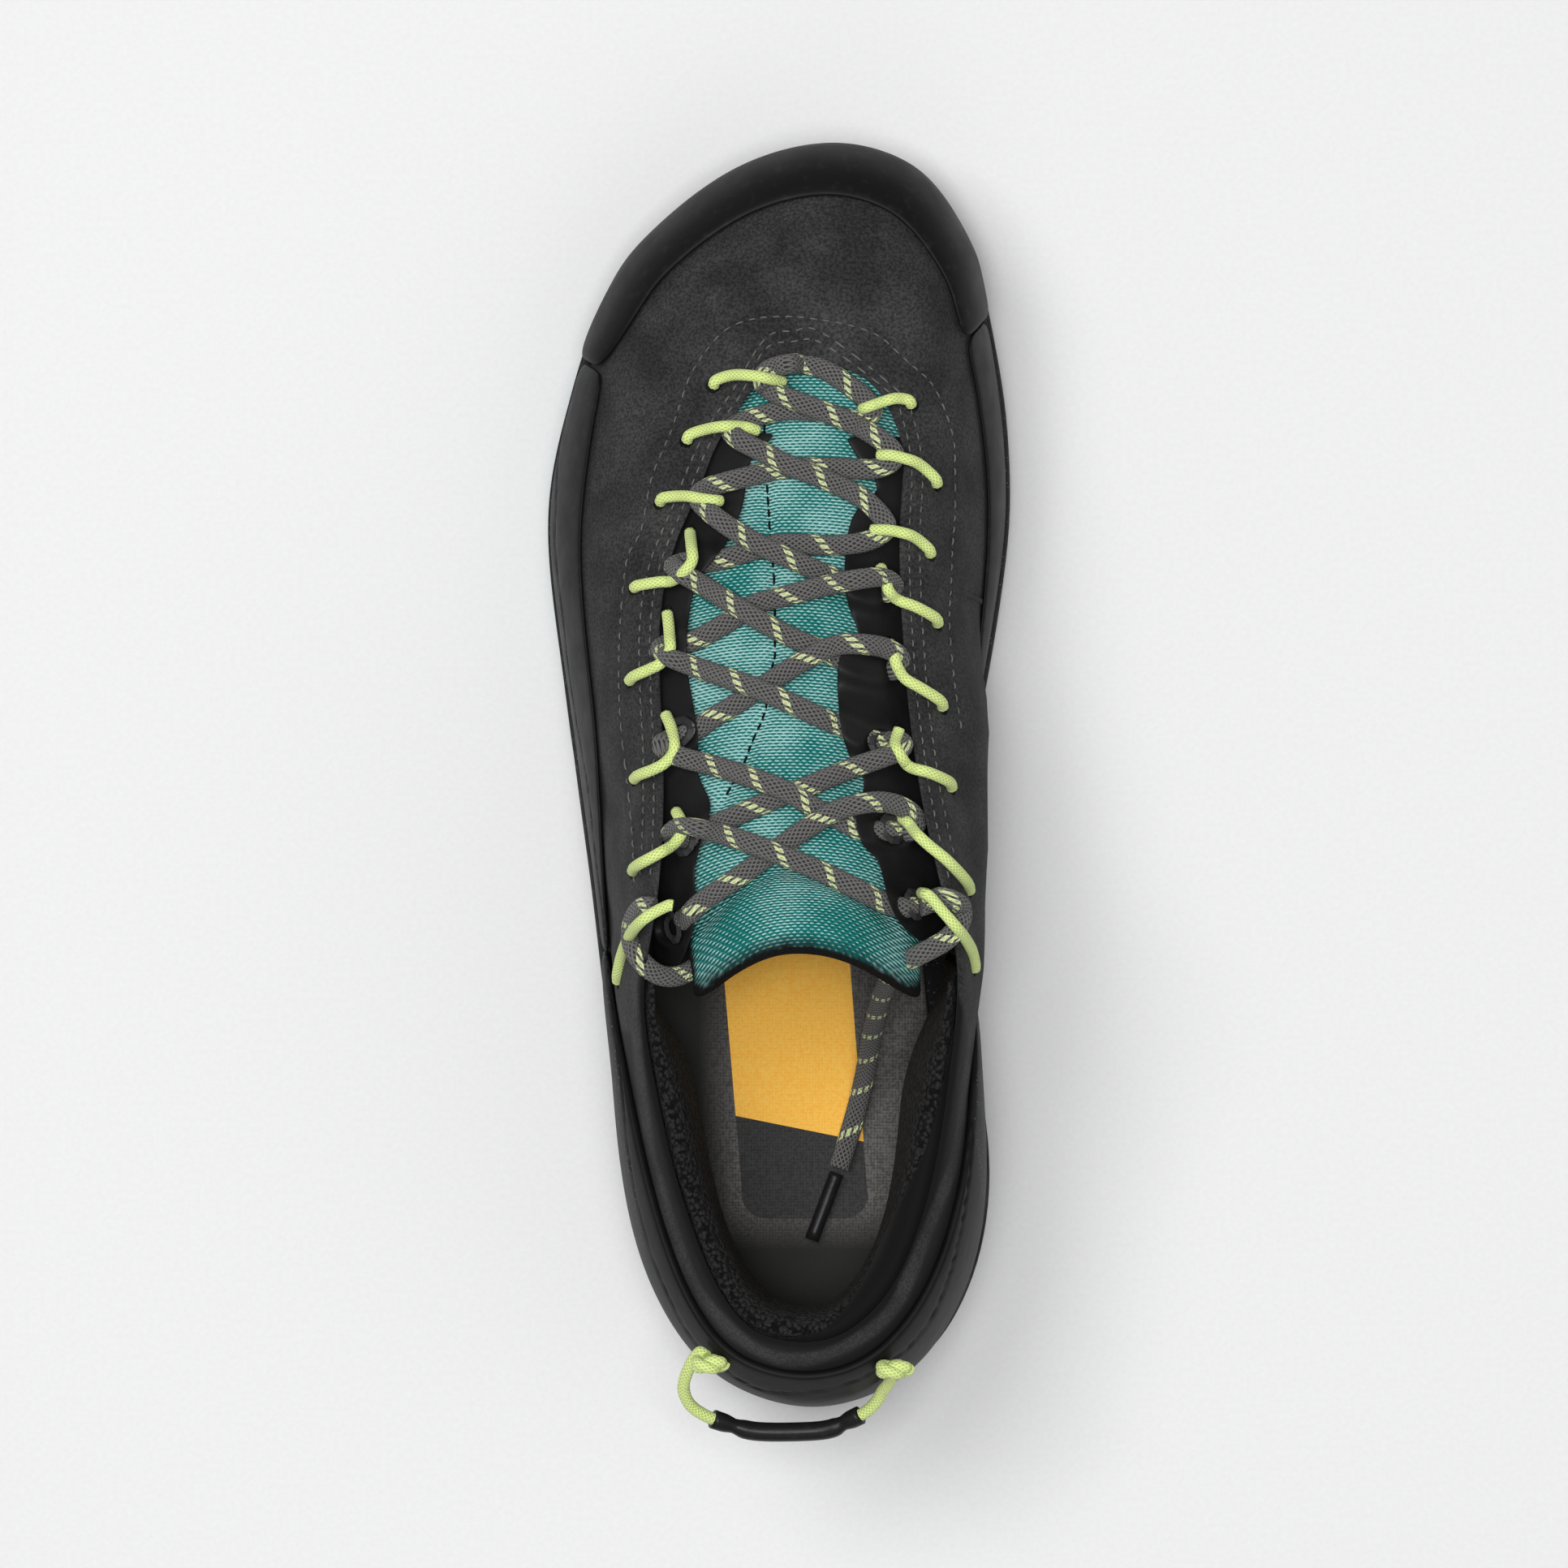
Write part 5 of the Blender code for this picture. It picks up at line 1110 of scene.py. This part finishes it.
def hang_pull(heel, paint):
    """The cord loop at the heel, its shrink sleeve and the two overhand knots."""
    path = [outside_heel(heel, at_height(*place), PULL_WIDTH / 2 + 0.0006) for place in curve_through(PULL, 6)]
    first, last = int(len(path) * SLEEVE_FROM), int(len(path) * SLEEVE_TO)
    cord, length = cord_mesh("pull_loop", path, PULL_WIDTH, PULL_WIDTH, paint["lime"], sides=12)
    middle = path[first : last + 1]
    count = len(middle)
    sleeve = sleeve_mesh(middle, [pinch(i / (count - 1)) for i in range(count)], paint["plastic"])
    for side in ("lateral", "medial"):
        low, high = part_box("pull_knot_" + side)
        overhand("pull_" + side + "_knot", (Vector(low) + Vector(high)) / 2, paint["lime"])
        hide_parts("pull_knot_" + side)
    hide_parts("pull_cord_lateral", "pull_cord_medial")
    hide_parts("pull_sleeve")
    tuple(path[0])


def pinch(share):
    """The sleeve's width along it: full in the middle, folded in near both ends."""
    fold = math.exp(-(((share - 0.16) / 0.05) ** 2)) + math.exp(-(((share - 0.84) / 0.05) ** 2))
    return SLEEVE_WIDTH * (1 - 0.22 * fold)


def sleeve_mesh(points, widths, material):
    """A shrunk sleeve along points, its width changing along it."""
    body = bmesh.new()
    rings = []
    for i, (point, width) in enumerate(zip(points, widths)):
        ahead = (points[min(i + 1, len(points) - 1)] - points[max(i - 1, 0)]).normalized()
        side = ahead.cross(Vector((0, 0, 1))).normalized()
        rings.append(ring_round(body, point, side, side.cross(ahead), width, width, 16))
    skinned(body, rings)
    bmesh.ops.recalc_face_normals(body, faces=body.faces)
    return added("pull_shrink_sleeve", body, material)


def overhand(name, middle, material):
    """A small overhand knot: a cord through three lobes."""
    path = []
    for t in np.linspace(0.15, 2 * math.pi + 0.05, 60):
        reach = 2 + math.cos(3 * t)
        lobe = Vector((reach * math.cos(2 * t), 0.75 * math.sin(3 * t), reach * math.sin(2 * t)))
        path.append(middle + lobe * KNOT_LOBE)
    knot, _ = cord_mesh(name, path, PULL_WIDTH * 0.92, PULL_WIDTH * 0.92, material, sides=12)
    return knot


# What the solids are dressed with: rounds of smoothing, finish, slot and nodes
COVERS = [
    (3, "suede", "suede", ["upper"]),
    (3, "mesh", "teal_mesh", ["tongue"]),
    (3, "pile", "collar_knit", ["collar_lining"]),
    (3, "footbed", "footbed_textile", ["insole"]),
    (3, "foam", "midsole_foam", ["midsole"]),
    (2, "sole", "black_rubber", ["outsole"]),
    (3, "rand", "rand_rubber", ["toe_rand", "side_rand_lateral", "side_rand_medial"]),
    (3, "counter", "counter_smooth", ["heel_counter"]),
    (3, "flap", "eyestay_smooth", ["eyestay_lateral", "eyestay_medial"]),
]


def main():
    """Sets the studio, dresses the solids, then sews, laces and hangs the cords."""
    place_camera()
    light_studio()
    lay_floor()
    paint = {
        "suede": suede_finish(),
        "rand": rubber_finish("rand_rubber", (0.0050, 0.0050, 0.0054), 0.52, True),
        "counter": smooth_finish("counter_skin", (0.0036, 0.0036, 0.004), 0.58, True),
        "flap": smooth_finish("flap_skin", (0.0085, 0.0085, 0.009), 0.5),
        "foam": foam_finish(),
        "sole": sole_finish(),
        "mesh": mesh_finish(),
        "pile": pile_finish("collar_pile", (0.0040, 0.0040, 0.0040), 950.0),
        "footbed": footbed_finish(),
        "ring": rubber_finish("ring_plastic", (0.03, 0.03, 0.032), 0.45, False),
        "plastic": rubber_finish("sleeve_plastic", (0.012, 0.012, 0.013), 0.32, False),
        # In both braids the last figure but one is the share of painted shade in the hollows between strands: 0.2 for
        # the lace, 0.8 for the lime
        "lace": cord_finish("lace_braid", (0.030, 0.029, 0.028), (0.15, 0.145, 0.14), 13, 0.0014, 0.0108, 0.2, 0.0003),
        "lime": cord_finish("lime_braid", (0.62, 0.77, 0.19), (0.74, 0.88, 0.32), 8, 0.0010, 0, 0.8, 0.0001),
        "thread": smooth_finish("seam_thread", (0.10, 0.10, 0.095), 0.8),
        # Near black: the tongue seam's real black thread, and the painted shade inside the loop holes
        "hole": pile_finish("thread_and_hole_shade", (0.002, 0.002, 0.002), 1500.0),
    }
    worn = {}
    for levels, finish, slot, nodes in COVERS:
        for node in nodes:
            proud = OVERLAY if finish in ("rand", "counter") else 0.0
            sharp = SHARP if node == "outsole" else None
            worn[node] = finished(dressed(node, levels, proud, sharp), paint[finish], slot)
    upper, tongue, lining, counter = (worn[node] for node in ("upper", "tongue", "collar_lining", "heel_counter"))
    flaps = [worn["eyestay_lateral"], worn["eyestay_medial"]]
    select_only(worn["outsole"])
    bpy.ops.object.shade_smooth_by_angle(angle=SHARP)
    bulge_waist(upper)
    beyond(upper, "rolled", ROLL_EDGE, -5)
    beyond(upper, "heel", STRIP_EDGE, 5)
    beyond(lining, "smooth", PILE_EDGE, 4)
    pressed(lining, line_on(tree_of(lining), PILE_EDGE[1:-1]), 0.0010, 0.0005)
    thicken_heel(counter)
    for piece in (worn["side_rand_lateral"], counter):
        pressed(piece, line_on(tree_of(piece), BAND_EDGE[:-4]), 0.0006, 0.0006)
        beyond(piece, "foam", FOAM_EDGE, 2)
    for name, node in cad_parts.items():
        if name.startswith("eyelet"):
            for holder in node.material_slots:
                holder.material = paint["ring"]
    held = sew(upper, tongue, flaps, paint)
    under = tree_of(upper, tongue)
    _, hidden = lace_run(tree_of(upper, tongue, counter, *flaps), under)
    for flap in flaps:
        lifted_over(flap, hidden, held)
    surface = tree_of(upper, tongue, counter, *flaps)
    cover = tree_of(upper, tongue, lining, counter, *flaps)
    hole_shades(cover, paint)
    threaded(surface, cover, under, paint)
    hang_pull(tree_of(upper, counter, lining), paint)


def write_sizes():
    """The CAD box and the dressed shoe's box."""
    boxes = {name: [list(corner) for corner in box] for name, box in (("cad", CAD_BOX), ("visual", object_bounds()))}


main()
write_sizes()
